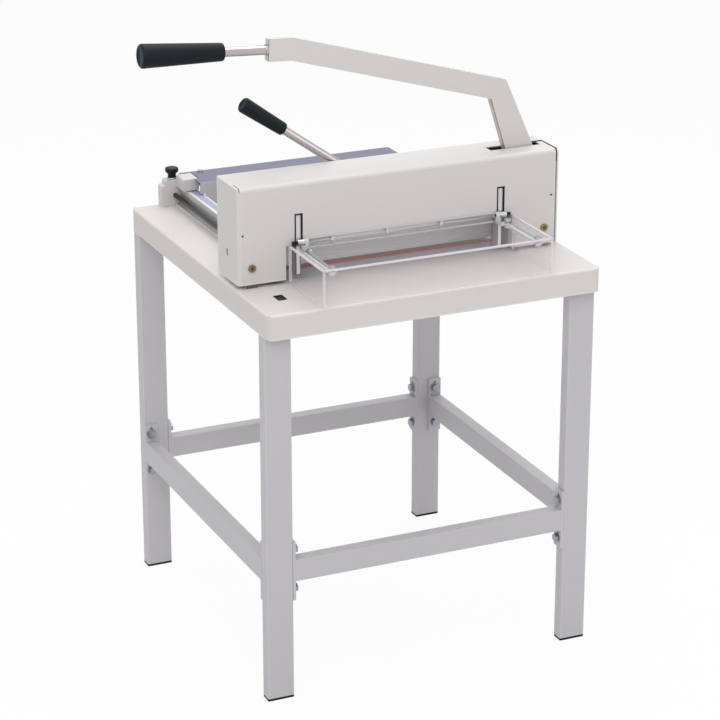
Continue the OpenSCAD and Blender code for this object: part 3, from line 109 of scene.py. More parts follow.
class Groups:
    """The shader node groups that more than one finish uses."""

    FINE_DETAIL = 3.0
    CLOUD_SCALE = 9.0
    CLOUD_DETAIL = 4.0
    LINE_DETAIL = 2.0
    FRONT_LIMIT = -0.5

    def __init__(self) -> None:
        """Builds the four groups once."""
        self.facing = self._facing()
        self.grain = self._grain()
        self.brush = self._brush()
        self.edge = self._edge()

    @staticmethod
    def _new(name: str, inputs: dict[str, tuple[str, float]], outputs: dict[str, str]):
        """Makes an empty group with named sockets.

        Args:
            name: the group's name.
            inputs: each input's socket type and default.
            outputs: each output's socket type.

        Returns:
            The node tree, its input node and its output node.
        """
        tree = bpy.data.node_groups.new(name, "ShaderNodeTree")
        for label, (kind, value) in inputs.items():
            item = tree.interface.new_socket(label, in_out="INPUT", socket_type=kind)
            if value is not None:
                item.default_value = value
        for label, kind in outputs.items():
            tree.interface.new_socket(label, in_out="OUTPUT", socket_type=kind)
        return tree, tree.nodes.new("NodeGroupInput"), tree.nodes.new("NodeGroupOutput")

    def _grain(self) -> bpy.types.NodeTree:
        """Fine cells over slow clouds: Height for bumps and Cloud for colour and gloss.

        Returns:
            The group's node tree.
        """
        tree, source, sink = self._new(
            "surface_grain",
            {"Place": ("NodeSocketVector", None), "Scale": ("NodeSocketFloat", 900.0)},
            {"Height": "NodeSocketFloat", "Cloud": "NodeSocketFloat"},
        )
        fine = tree.nodes.new("ShaderNodeTexNoise")
        fine.inputs["Detail"].default_value = self.FINE_DETAIL
        slow = tree.nodes.new("ShaderNodeTexNoise")
        slow.inputs["Scale"].default_value = self.CLOUD_SCALE
        slow.inputs["Detail"].default_value = self.CLOUD_DETAIL
        for node in (fine, slow):
            tree.links.new(source.outputs["Place"], node.inputs["Vector"])
        tree.links.new(source.outputs["Scale"], fine.inputs["Scale"])
        tree.links.new(fine.outputs["Fac"], sink.inputs["Height"])
        tree.links.new(slow.outputs["Fac"], sink.inputs["Cloud"])
        return tree

    def _brush(self) -> bpy.types.NodeTree:
        """Noise stretched along X, Y or Z by Stretch, as grinding and drawing leave.

        Returns:
            The group's node tree.
        """
        tree, source, sink = self._new(
            "drawn_lines",
            {"Place": ("NodeSocketVector", None), "Stretch": ("NodeSocketVector", None)},
            {"Line": "NodeSocketFloat"},
        )
        scaled = tree.nodes.new("ShaderNodeVectorMath")
        scaled.operation = "MULTIPLY"
        noise = tree.nodes.new("ShaderNodeTexNoise")
        noise.inputs["Scale"].default_value = 1.0
        noise.inputs["Detail"].default_value = self.LINE_DETAIL
        tree.links.new(source.outputs["Place"], scaled.inputs[0])
        tree.links.new(source.outputs["Stretch"], scaled.inputs[1])
        tree.links.new(scaled.outputs["Vector"], noise.inputs["Vector"])
        tree.links.new(noise.outputs["Fac"], sink.inputs["Line"])
        return tree

    def _edge(self) -> bpy.types.NodeTree:
        """Mask of a box's edges for a painted highlight: the middle one of the three distances to
        its faces is small.

        Returns:
            The group's node tree.
        """
        tree, source, sink = self._new(
            "edge_wear",
            {
                "Place": ("NodeSocketVector", None),
                "Low": ("NodeSocketVector", None),
                "High": ("NodeSocketVector", None),
                "Width": ("NodeSocketFloat", 0.002),
            },
            {"Mask": "NodeSocketFloat"},
        )
        compute = self.compute
        gap_low = tree.nodes.new("ShaderNodeVectorMath")
        gap_low.operation = "SUBTRACT"
        gap_high = tree.nodes.new("ShaderNodeVectorMath")
        gap_high.operation = "SUBTRACT"
        least = tree.nodes.new("ShaderNodeVectorMath")
        least.operation = "MINIMUM"
        split = tree.nodes.new("ShaderNodeSeparateXYZ")
        tree.links.new(source.outputs["Place"], gap_low.inputs[0])
        tree.links.new(source.outputs["Low"], gap_low.inputs[1])
        tree.links.new(source.outputs["High"], gap_high.inputs[0])
        tree.links.new(source.outputs["Place"], gap_high.inputs[1])
        tree.links.new(gap_low.outputs["Vector"], least.inputs[0])
        tree.links.new(gap_high.outputs["Vector"], least.inputs[1])
        tree.links.new(least.outputs["Vector"], split.inputs[0])
        low = compute(tree, "MINIMUM", split.outputs["X"], split.outputs["Y"])
        high = compute(tree, "MAXIMUM", split.outputs["X"], split.outputs["Y"])
        capped = compute(tree, "MINIMUM", high, split.outputs["Z"])
        middle = compute(tree, "MAXIMUM", low, capped)
        share = compute(tree, "DIVIDE", middle, source.outputs["Width"])
        mask = compute(tree, "SUBTRACT", 1.0, share, clamp=True)
        tree.links.new(mask, sink.inputs["Mask"])
        return tree

    def _facing(self) -> bpy.types.NodeTree:
        """Mask of the surfaces that face the front: the object normal's Y is below minus half.

        Returns:
            The group's node tree.
        """
        tree, source, sink = self._new(
            "facing_front", {"Normal": ("NodeSocketVector", None)}, {"Front": "NodeSocketFloat"}
        )
        split = tree.nodes.new("ShaderNodeSeparateXYZ")
        tree.links.new(source.outputs["Normal"], split.inputs[0])
        mask = self.compute(tree, "LESS_THAN", split.outputs["Y"], self.FRONT_LIMIT)
        tree.links.new(mask, sink.inputs["Front"])
        return tree

    @staticmethod
    def compute(tree, operation: str, first, second, clamp: bool = False):
        """Adds a Math node and returns its output.

        Args:
            tree: the node tree to add to.
            operation: the Math operation's name.
            first: a socket or a number.
            second: a socket or a number.
            clamp: whether the result is kept between zero and one.

        Returns:
            The node's value output.
        """
        node = tree.nodes.new("ShaderNodeMath")
        node.operation = operation
        node.use_clamp = clamp
        for slot, value in zip(node.inputs, (first, second)):
            if isinstance(value, (int, float)):
                slot.default_value = value
            else:
                tree.links.new(value, slot)
        return node.outputs[0]


class FinishBook:
    """Makes a material from a finish for a piece, and keeps it for the next one."""

    LINE_ALONG = 6.0
    LINE_ACROSS = 700.0
    EDGE_WIDTH = 3.5 * MM
    # The colour of the painted highlight along edges.
    EDGE_HIGHLIGHT_COLOUR = "F2EFEC"
    SHEEN = 0.02
    SHEEN_ROUGHNESS = 0.4
    COAT_ROUGHNESS = 0.2
    SMOOTHEST, ROUGHEST = 0.85, 1.2
    BUMP_DISTANCE = 0.4 * MM
    BAND_SOFTNESS = 0.3 * MM
    TICKS_PER_METRE = 200.0
    TICK_SHARE = 0.16
    TICK_COLOUR = "6A6C8C"

    def __init__(self, groups: Groups) -> None:
        """Keeps the shared node groups.

        Args:
            groups: the node groups that the materials place.
        """
        self.groups = groups
        self.made: dict[str, bpy.types.Material] = {}

    def material(
        self,
        finish: Finish,
        box: tuple[Vector, Vector] | None = None,
        along: str = "X",
        key: str = "",
    ) -> bpy.types.Material:
        """Builds or fetches a material.

        Args:
            finish: the finish to build.
            box: the piece's lowest and highest corners, for its edge mask.
            along: the axis that drawn lines run along.
            key: a piece's own name, where the box matters.

        Returns:
            The material.
        """
        name = f"{finish.name}_{along}" + (f"_{key}" if key else "")
        if name in self.made:
            return self.made[name]
        mat = bpy.data.materials.new(name)
        mat.use_nodes = True
        tree = mat.node_tree
        shader = tree.nodes["Principled BSDF"]
        place = tree.nodes.new("ShaderNodeTexCoord").outputs["Object"]
        colour = linear(finish.colour)
        grain = tree.nodes.new("ShaderNodeGroup")
        grain.node_tree = self.groups.grain
        grain.inputs["Scale"].default_value = finish.grain
        tree.links.new(place, grain.inputs["Place"])
        shade = self._shade(tree, colour, finish.tint, grain.outputs["Cloud"])
        height = grain.outputs["Height"]
        shader.inputs["Metallic"].default_value = (
            1.0 if finish.look in (Look.BRUSHED, Look.PLATED) else 0.0
        )
        if finish.look is Look.BRUSHED:
            lines = tree.nodes.new("ShaderNodeGroup")
            lines.node_tree = self.groups.brush
            stretch = [self.LINE_ALONG if axis == along else self.LINE_ACROSS for axis in "XYZ"]
            lines.inputs["Stretch"].default_value = stretch
            tree.links.new(place, lines.inputs["Place"])
            height = lines.outputs["Line"]
            shade = self._shade(tree, colour, finish.tint * 2.0, height)
        shader.inputs["Specular IOR Level"].default_value = finish.gloss
        if finish.alpha < 1.0:
            shader.inputs["Alpha"].default_value = finish.alpha
        if finish.look is Look.FOAM:
            shader.inputs["Sheen Weight"].default_value = self.SHEEN
            shader.inputs["Sheen Roughness"].default_value = self.SHEEN_ROUGHNESS
        if finish.front:
            facing = tree.nodes.new("ShaderNodeGroup")
            facing.node_tree = self.groups.facing
            normal = tree.nodes.new("ShaderNodeTexCoord").outputs["Normal"]
            tree.links.new(normal, facing.inputs["Normal"])
            two = tree.nodes.new("ShaderNodeMix")
            two.data_type = "RGBA"
            tree.links.new(facing.outputs["Front"], two.inputs["Factor"])
            tree.links.new(shade, two.inputs["A"])
            two.inputs["B"].default_value = linear(finish.front)
            shade = two.outputs["Result"]
        if finish.band:
            shade = self._banded(tree, place, shade, finish.band)
        if finish.look is Look.RULE:
            shade = self._ticks(tree, place, shade)
        # Painted highlight: the edges are lightened towards a pale colour by the finish's edge
        # strength.
        if finish.edge and box is not None:
            mask = tree.nodes.new("ShaderNodeGroup")
            mask.node_tree = self.groups.edge
            mask.inputs["Low"].default_value = box[0]
            mask.inputs["High"].default_value = box[1]
            mask.inputs["Width"].default_value = self.EDGE_WIDTH
            tree.links.new(place, mask.inputs["Place"])
            strength = Groups.compute(tree, "MULTIPLY", mask.outputs["Mask"], finish.edge)
            lit = tree.nodes.new("ShaderNodeMix")
            lit.data_type = "RGBA"
            tree.links.new(strength, lit.inputs["Factor"])
            tree.links.new(shade, lit.inputs["A"])
            lit.inputs["B"].default_value = linear(self.EDGE_HIGHLIGHT_COLOUR)
            shade = lit.outputs["Result"]
        tree.links.new(shade, shader.inputs["Base Color"])
        rough = tree.nodes.new("ShaderNodeMapRange")
        rough.inputs["To Min"].default_value = finish.roughness * self.SMOOTHEST
        rough.inputs["To Max"].default_value = min(1.0, finish.roughness * self.ROUGHEST)
        tree.links.new(grain.outputs["Cloud"], rough.inputs["Value"])
        tree.links.new(rough.outputs["Result"], shader.inputs["Roughness"])
        if finish.coat:
            shader.inputs["Coat Weight"].default_value = finish.coat
            shader.inputs["Coat Roughness"].default_value = self.COAT_ROUGHNESS
        if finish.bump:
            bump = tree.nodes.new("ShaderNodeBump")
            bump.inputs["Strength"].default_value = finish.bump
            bump.inputs["Distance"].default_value = self.BUMP_DISTANCE
            tree.links.new(height, bump.inputs["Height"])
            tree.links.new(bump.outputs["Normal"], shader.inputs["Normal"])
        self.made[name] = mat
        return mat

    @staticmethod
    def _shade(tree, colour, tint: float, factor):
        """Mixes a slightly darker and lighter tone of a colour by a factor.

        Args:
            tree: the material's node tree.
            colour: the linear colour.
            tint: how far the two tones are apart, as a share.
            factor: the socket that drives the mix.

        Returns:
            The mixed colour's socket.
        """
        mix = tree.nodes.new("ShaderNodeMix")
        mix.data_type = "RGBA"
        mix.inputs["A"].default_value = (*[c * (1 - tint) for c in colour[:3]], 1.0)
        mix.inputs["B"].default_value = (*[min(1.0, c * (1 + tint)) for c in colour[:3]], 1.0)
        tree.links.new(factor, mix.inputs["Factor"])
        return mix.outputs["Result"]

    @staticmethod
    def _banded(tree, place, shade, band: tuple[str, int, float, float]):
        """Lays a second colour over a band between two places along X, Y or Z, softly edged.

        Args:
            tree: the material's node tree.
            place: the object coordinate socket.
            shade: the ground colour's socket.
            band: the second colour, the axis's number, and where the band starts and ends.

        Returns:
            The colour with its band.
        """
        code, axis, start, end = band
        soft = FinishBook.BAND_SOFTNESS
        split = tree.nodes.new("ShaderNodeSeparateXYZ")
        tree.links.new(place, split.inputs[0])
        steps = []
        for low, high in ((start - soft, start + soft), (end + soft, end - soft)):
            step = tree.nodes.new("ShaderNodeMapRange")
            step.inputs["From Min"].default_value = low
            step.inputs["From Max"].default_value = high
            tree.links.new(split.outputs[axis], step.inputs["Value"])
            steps.append(step.outputs["Result"])
        inside = Groups.compute(tree, "MINIMUM", steps[0], steps[1])
        mix = tree.nodes.new("ShaderNodeMix")
        mix.data_type = "RGBA"
        tree.links.new(inside, mix.inputs["Factor"])
        tree.links.new(shade, mix.inputs["A"])
        mix.inputs["B"].default_value = linear(code)
        return mix.outputs["Result"]

    @staticmethod
    def _ticks(tree, place, shade):
        """Draws fine cross lines every 5 mm along Y, as on a plain measuring rule.

        Args:
            tree: the material's node tree.
            place: the object coordinate socket.
            shade: the ground colour's socket.

        Returns:
            The colour with its lines.
        """
        split = tree.nodes.new("ShaderNodeSeparateXYZ")
        tree.links.new(place, split.inputs[0])
        step = Groups.compute(tree, "MULTIPLY", split.outputs["Y"], FinishBook.TICKS_PER_METRE)
        phase = Groups.compute(tree, "FRACT", step, 0.0)
        line = Groups.compute(tree, "LESS_THAN", phase, FinishBook.TICK_SHARE)
        mix = tree.nodes.new("ShaderNodeMix")
        mix.data_type = "RGBA"
        tree.links.new(line, mix.inputs["Factor"])
        tree.links.new(shade, mix.inputs["A"])
        mix.inputs["B"].default_value = linear(FinishBook.TICK_COLOUR)
        return mix.outputs["Result"]


COVER = Finish("cover_paint", Look.PAINT, "D0CDCC", 0.42, 0.012, 0.05, 1100, 0.5, 0.08)
TABLE = Finish("table_paint", Look.PAINT, "D3CFCC", 0.45, 0.012, 0.05, 1100, 0.35, 0.05)
# Painted shade: a dark band along Y darkens the groove in the arm's side.
ARM = Finish("arm_paint_groove_shade", Look.PAINT, "CFCBC8", 0.42, 0.015, 0.05, 1100, 0.0, 0.08,
             band=("5F5E63", 1, -0.1490, -0.1460))
LEG = Finish("leg_paint", Look.PAINT, "BEBCC0", 0.4, 0.015, 0.06, 900, 0.15, 0.05)
STEEL = Finish("ground_steel", Look.BRUSHED, "A2A3A8", 0.34, 0.06, 0.12)
DARK_ROD = Finish("dark_polish", Look.PLATED, "3A3C3C", 0.24, 0.05, 0.02)
BEAM_CAST = Finish("beam_casting", Look.PAINT, "C2C3C7", 0.5, 0.04, 0.15, 500)
# Painted shade: the faces turned to the front are dark, standing in for the shade under the cover.
UPRIGHT = Finish("upright_casting_front_shade", Look.PAINT, "A9AAAE", 0.6, 0.06, 0.25, 420, front="4E4F53")
FRAME_CAST = Finish("frame_casting", Look.PAINT, "A9AAAE", 0.6, 0.06, 0.25, 420)
# Painted light: the posts' faces turned to the front are much paler than their sides, lifting the
# shade they sit in.
POST = Finish("post_paint_front_lit", Look.PAINT, "8C8D92", 0.4, 0.03, 0.05, 900, front="DEDDDE")
ZINC = Finish("zinc_plate", Look.PLATED, "9DA1A8", 0.34, 0.08, 0.1, 600)
# Painted shade: above 0.897 m the seal is darkened, where shade falls at the top of the right end.
GASKET = Finish("end_seal", Look.PLASTIC, "85848A", 0.6, 0.05, 0.1, 700,
                band=("2B2B30", 2, 0.897, 1.0))
NICKEL = Finish("nickel_plate", Look.PLATED, "B9B1B0", 0.16, 0.03, 0.02)
CHROME = Finish("bright_plate", Look.PLATED, "C6C6CA", 0.18, 0.02, 0.02)
BRASS = Finish("satin_brass", Look.PLATED, "94805F", 0.3, 0.05, 0.05)
FOAM = Finish("grip_foam", Look.FOAM, "0E181D", 0.5, 0.12, 0.3, 1400, gloss=0.16)
BLACK = Finish("black_plastic", Look.PLASTIC, "0D0E10", 0.42, 0.1, 0.12, 800, gloss=0.22)
# Painted shade for the lock screws' key holes.
SOCKET_SHADE = Finish("socket_shade", Look.PLASTIC, "4A3A22", 0.6, 0.1, 0.1, 700)
# Dark rubber for the end seal's lines, and painted shade for the cover's open seam.
SEAL_AND_SEAM_SHADE = Finish("seal_rubber_and_seam_shade", Look.PLASTIC, "2E2E33", 0.6, 0.08, 0.15, 700)
STICK = Finish("stick_plastic", Look.PLASTIC, "E2553F", 0.4, 0.03, 0.05, 600)
SLATE = Finish("fence_paint", Look.PAINT, "737487", 0.55, 0.05, 0.2, 700, 0.15, front="B5B3B6")
SCALE = Finish("scale_tape", Look.RULE, "ADB1D2", 0.5, 0.01, 0.0)
# Painted light: the colour is lifted so the lay's left face, shaded by the rod, reads pale, and
# its high edge value paints a highlight.
LAY = Finish("lay_profile", Look.PAINT, "E4E3E2", 0.32, 0.02, 0.05, 900, 0.8, 0.2)
# Painted reflection: the three copies of the clear acrylic carry a pale haze through their alpha,
# stronger and pinker on the front sheet.
CLEAR = Finish("clear_acrylic", Look.CLEAR, "F0ECEE", 0.08, 0.01, 0.0, alpha=0.05)
CLEAR_FACE = Finish("clear_acrylic_front_haze", Look.CLEAR, "F2E6E6", 0.08, 0.01, 0.0, alpha=0.07)
CLEAR_SIDE = Finish("clear_acrylic_side", Look.CLEAR, "F0ECEE", 0.08, 0.01, 0.0, alpha=0.05)
RIM = Finish("sawn_acrylic_edge", Look.PLASTIC, "E9E4E8", 0.35, 0.02, 0.1, 700, alpha=0.62)
JOIN = Finish("glued_acrylic_corner", Look.PLASTIC, "EFEBEE", 0.3, 0.02, 0.1, 700, alpha=0.35)
ARM_BAR = Finish("guard_arm_satin", Look.PAINT, "C9C8CB", 0.35, 0.03, 0.06, 700, 0.3, 0.1)
# Painted light: the colour is lifted above the clamp's own paint to brighten its face in the
# shaded throat.
CLAMP_FACE = Finish("clamp_satin", Look.PAINT, "EEF0F3", 0.4, 0.04, 0.08, 600, 0.0, 0.1)
LAND = Finish("ground_land", Look.BRUSHED, "E2E1E3", 0.4, 0.03, 0.05)
PLATE = Finish("bed_satin", Look.PAINT, "B9BABE", 0.34, 0.03, 0.08, 600, 0.0, 0.15)

NODE_FINISH: dict[str, tuple[Finish, str]] = {
    "table_top": (TABLE, "X"), "table_plug": (BLACK, "X"), "table_plate": (PLATE, "X"),
    "cutting_stick": (STICK, "X"), "table_bolts": (CHROME, "X"), "foot_caps": (BLACK, "X"),
    "leg_front_left": (LEG, "Z"), "leg_front_right": (LEG, "Z"),
    "leg_back_left": (LEG, "Z"), "leg_back_right": (LEG, "Z"),
    "stretcher_front": (LEG, "X"), "stretcher_back": (LEG, "X"),
    "stretcher_left": (LEG, "Y"), "stretcher_right": (LEG, "Y"),
    "stretcher_bolts": (ZINC, "X"), "front_cover": (COVER, "X"), "rear_cover": (COVER, "X"),
    "right_end_cover": (COVER, "Y"), "end_gasket": (GASKET, "X"),
    "cover_brackets": (UPRIGHT, "Z"), "cover_lock_screws": (BRASS, "X"),
    "side_frame_left": (UPRIGHT, "Z"), "side_frame_right": (UPRIGHT, "Z"),
    "front_beam": (BEAM_CAST, "X"), "rear_plate": (FRAME_CAST, "X"),
    "frame_bolts": (STEEL, "X"), "guide_studs": (STEEL, "Y"), "pivot_shaft": (STEEL, "Y"),
    "guard_posts": (POST, "Z"), "guard_hinge_brackets": (CHROME, "X"),
    "guard_hinge_pins": (BLACK, "X"), "clear_strip": (CLEAR, "X"), "strip_screws": (CHROME, "X"),
    "guide_rod": (DARK_ROD, "Y"), "rod_bracket": (FRAME_CAST, "X"), "base_strip": (COVER, "Y"),
    "side_lay": (LAY, "Y"), "scale_strip": (SCALE, "Y"), "lever_arm": (ARM, "X"),
    "drive_pin": (STEEL, "Y"), "lever_rod": (NICKEL, "X"), "lever_grip": (FOAM, "X"),
    "knife_beam": (BEAM_CAST, "X"), "blade": (STEEL, "X"), "blade_bolts": (BLACK, "X"),
    "clamp_beam": (CLAMP_FACE, "X"), "clamp_pinion": (STEEL, "Y"), "clamp_hub": (CHROME, "Y"),
    "clamp_rod": (NICKEL, "X"), "clamp_grip": (FOAM, "X"), "guard_top": (CLEAR, "X"),
    "guard_front": (CLEAR_FACE, "X"), "guard_sides": (CLEAR_SIDE, "Y"),
    "guard_arms": (ARM_BAR, "Y"),
    "guard_screws": (CHROME, "X"), "gauge_block": (COVER, "X"), "gauge_fence": (SLATE, "X"),
    "gauge_screw": (CHROME, "X"), "gauge_knob": (BLACK, "X"),
}


class Surface:
    """Mesh surfaces worked out as whole arrays."""

    BAR_SIDES = 16
    BAR_END = np.array([1e-4, 0.93, 1.0, 1.0, 0.93, 1e-4])
    BEVEL_SHARE = 0.9
    SAME_SPOT = 1e-6

    @staticmethod
    def mesh(name: str, points: np.ndarray, faces: np.ndarray, smooth: bool) -> bpy.types.Object:
        """Makes an object at the origin from points and faces in metres.

        Args:
            name: the object's name.
            points: the corners, one row each.
            faces: the corners' numbers, four to a face.
            smooth: whether its faces are shaded smooth.

        Returns:
            The new object.
        """
        data = bpy.data.meshes.new(name)
        data.from_pydata(points.tolist(), [], faces.tolist())
        data.validate()
        if smooth:
            data.shade_smooth()
        else:
            data.shade_flat()
        obj = bpy.data.objects.new(name, data)
        bpy.context.scene.collection.objects.link(obj)
        return obj

    @staticmethod
    def quads(rows: int, columns: int, close_rows: bool, close_columns: bool) -> np.ndarray:
        """Numbers the faces of a grid of points, row after row.

        Args:
            rows: how many rows of points there are.
            columns: how many points each row has.
            close_rows: whether the last row joins the first.
            close_columns: whether each row's end joins its start.

        Returns:
            One row of four corner numbers for each face.
        """
        r = np.arange(rows if close_rows else rows - 1)
        c = np.arange(columns if close_columns else columns - 1)
        rr, cc = np.meshgrid(r, c, indexing="ij")
        r2, c2 = (rr + 1) % rows, (cc + 1) % columns
        corners = ((rr, cc), (rr, c2), (r2, c2), (r2, cc))
        return np.stack([(row * columns + column).ravel() for row, column in corners], axis=1)

    @classmethod
    def turned(
        cls, name: str, radii: np.ndarray, heights: np.ndarray, base: Vector, axis: Vector,
        lobes: int = 0, depth: float = 0.0, lobed: np.ndarray | None = None, sides: int = 64,
    ) -> bpy.types.Object:
        """A profile turned round an axis: each ring's radius times one plus a cosine of lobes.

        Args:
            name: the object's name.
            radii: each ring's radius, zero at both ends.
            heights: each ring's place along the axis.
            base: where the axis starts.
            axis: the axis's direction.
            lobes: how many lobes go round, or zero.
            depth: the lobes' depth as a share of the radius.
            lobed: each ring's share of that depth.
            sides: how many points a ring has.

        Returns:
            The new object.
        """
        turn = np.linspace(0.0, 2.0 * np.pi, sides, endpoint=False)
        share = np.zeros_like(radii) if lobed is None else lobed
        wave = 1.0 + depth * share[:, None] * (np.cos(lobes * turn)[None, :] - 1.0) / 2.0
        ring = np.maximum(radii, cls.SAME_SPOT)[:, None] * wave
        local = np.stack(
            [ring * np.cos(turn), ring * np.sin(turn), np.repeat(heights[:, None], sides, 1)], -1
        ).reshape(-1, 3)
        spin = np.array(axis.to_track_quat("Z", "Y").to_matrix())
        points = local @ spin.T + np.array(base)
        return cls.mesh(name, points, cls.quads(len(radii), sides, False, True), True)

    @classmethod
    def bar(
        cls, name: str, low: np.ndarray, high: np.ndarray, bevel: float
    ) -> bpy.types.Object:
        """A thin bar along its longest side: a rounded rectangle carried from end to end.

        Args:
            name: the object's name.
            low: its lowest corner.
            high: its highest corner.
            bevel: the radius of its long edges.

        Returns:
            The new object.
        """
        size = high - low
        run = int(np.argmax(size))
        side = [i for i in range(3) if i != run]
        half = size[side] / 2.0
        bevel = min(bevel, float(half.min()) * cls.BEVEL_SHARE)
        sides = cls.BAR_SIDES
        turn = np.linspace(0.0, 2.0 * np.pi, sides, endpoint=False) + np.pi / sides
        corner = np.sign(np.stack([np.cos(turn), np.sin(turn)], 1))
        arc = np.stack([np.cos(turn), np.sin(turn)], 1)
        outline = corner * (half - bevel) + arc * bevel
        ends = np.array([0.0, 0.0, bevel, size[run] - bevel, size[run], size[run]])
        points = np.zeros((len(ends), len(turn), 3))
        points[..., run] = low[run] + ends[:, None]
        for i, s in enumerate(side):
            points[..., s] = low[s] + half[i] + outline[None, :, i] * cls.BAR_END[:, None]
        faces = cls.quads(len(ends), len(turn), False, True)
        obj = cls.mesh(name, points.reshape(-1, 3), faces, False)
        cls.outward(obj)
        return obj

    @staticmethod
    def outward(obj: bpy.types.Object) -> None:
        """Merges doubled corners and turns every face outwards.

        Args:
            obj: the piece to mend.
        """
        work = bmesh.new()
        work.from_mesh(obj.data)
        bmesh.ops.remove_doubles(work, verts=work.verts, dist=Surface.SAME_SPOT)
        bmesh.ops.recalc_face_normals(work, faces=work.faces)
        work.to_mesh(obj.data)
        work.free()


@dataclass
class Dresser:
    """What every sub-assembly needs to dress its pieces."""

    book: FinishBook

    def put(self, obj: bpy.types.Object, finish: Finish, body: str, along: str = "X") -> None:
        """Gives a new piece its finish and its body.

        Args:
            obj: the new piece.
            finish: its finish.
            body: the body that it rides on.
            along: the axis that drawn lines run along.
        """
        obj.data.materials.clear()
        obj.data.materials.append(self.book.material(finish, None, along))
        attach(obj, body)
        LOG.info("made %s on %s", obj.name, body)


@dataclass
class CadFinishes(Dresser):
    """Dresses every piece that comes over from the solids."""

    def build(self) -> None:
        """Puts each node's finish into its material slots."""
        for node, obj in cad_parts.items():
            finish, along = NODE_FINISH[node]
            low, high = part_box(node)
            box, key = ((low, high), node) if finish.edge > 0 else (None, "")
            mat = self.book.material(finish, box, along, key)
            if not obj.material_slots:
                obj.data.materials.append(mat)
            for slot in obj.material_slots:
                slot.material = mat
            LOG.info("dressed %s with %s", node, finish.name)


@dataclass
class GuardEdges(Dresser):
    """The sawn and glued edges of the clear sheets, which catch the light as fine pale lines."""

    line: float = 5.0 * MM
    proud: float = 0.12 * MM
    join: float = 1.8 * MM
    rim: float = 2.6 * MM
    bevel: float = 0.4 * MM
    strip_bevel: float = 0.3 * MM

    def build(self) -> None:
        """Makes the lines along the guard's upper rim, its corners and the clear strip."""
        low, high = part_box("guard_front")
        side_low, side_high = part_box("guard_sides")
        t, p, j = self.line, self.proud, self.join
        top, deep, under = high.z, high.z - self.rim, high.z - t
        left, right, near, back = side_low.x, side_high.x, side_low.y, side_high.y
        rims = {
            "guard_rim_front": ((low.x, low.y - p, deep), (high.x, low.y + t, top + p)),
            "guard_rim_left": ((left - p, near, deep), (left + t, back, top + p)),
            "guard_rim_right": ((right - t, near, deep), (right + p, back, top + p)),
        }
        joins = {
            "guard_corner_left": ((low.x - p, low.y - p, low.z), (low.x + t, low.y + j, top)),
            "guard_corner_right": ((high.x - t, low.y - p, low.z), (high.x + p, low.y + j, top)),
            "guard_under_front": (
                (low.x + t, low.y + t - p, under - p), (high.x - t, low.y + t + j / 2, under + p)),
            "guard_under_left": (
                (low.x + t - p, low.y + t, under - p), (low.x + t + j / 2, back, under + p)),
            "guard_foot_front": (
                (low.x, low.y - p, low.z - p), (high.x, low.y + j / 2, low.z + j / 2)),
            "guard_foot_left": ((left - p, near, low.z - p), (left + j / 2, back, low.z + j / 2)),
            "guard_tail_left": ((left - p, back - j, low.z), (left + t, back + p, top)),
            "guard_tail_right": ((right - t, back - j, low.z), (right + p, back + p, top)),
        }
        for group, finish in ((rims, RIM), (joins, JOIN)):
            for name, (a, b) in group.items():
                self.put(Surface.bar(name, np.array(a), np.array(b), self.bevel), finish, "guard")
        low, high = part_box("clear_strip")
        for name, z in (("strip_rim_top", high.z - j / 2), ("strip_rim_foot", low.z + j / 2)):
            a = np.array((low.x, low.y - p, z - j / 2 - p))
            b = np.array((high.x, high.y + p / 2, z + j / 2 + p))
            self.put(Surface.bar(name, a, b, self.strip_bevel), RIM, "stand_and_frame")


@dataclass
class ClampLines(Dresser):
    """The two ground lands on the clamp's face, just above the paper."""

    rises: tuple[float, float] = (3.0 * MM, 9.0 * MM)
    land: float = 1.5 * MM
    inset: float = 2.0 * MM
    proud: float = 0.15 * MM
    deep: float = 1.0 * MM
    bevel: float = 0.3 * MM

    def build(self) -> None:
        """Makes the two lands along the clamp's front, at their heights above its foot."""
        low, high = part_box("clamp_beam")
        for i, rise in enumerate(self.rises):
            z = low.z + rise
            start = np.array((low.x + self.inset, low.y - self.proud, z))
            end = np.array((high.x - self.inset, low.y + self.deep, z + self.land))
            self.put(Surface.bar(f"clamp_land_{i}", start, end, self.bevel), LAND, "clamp")


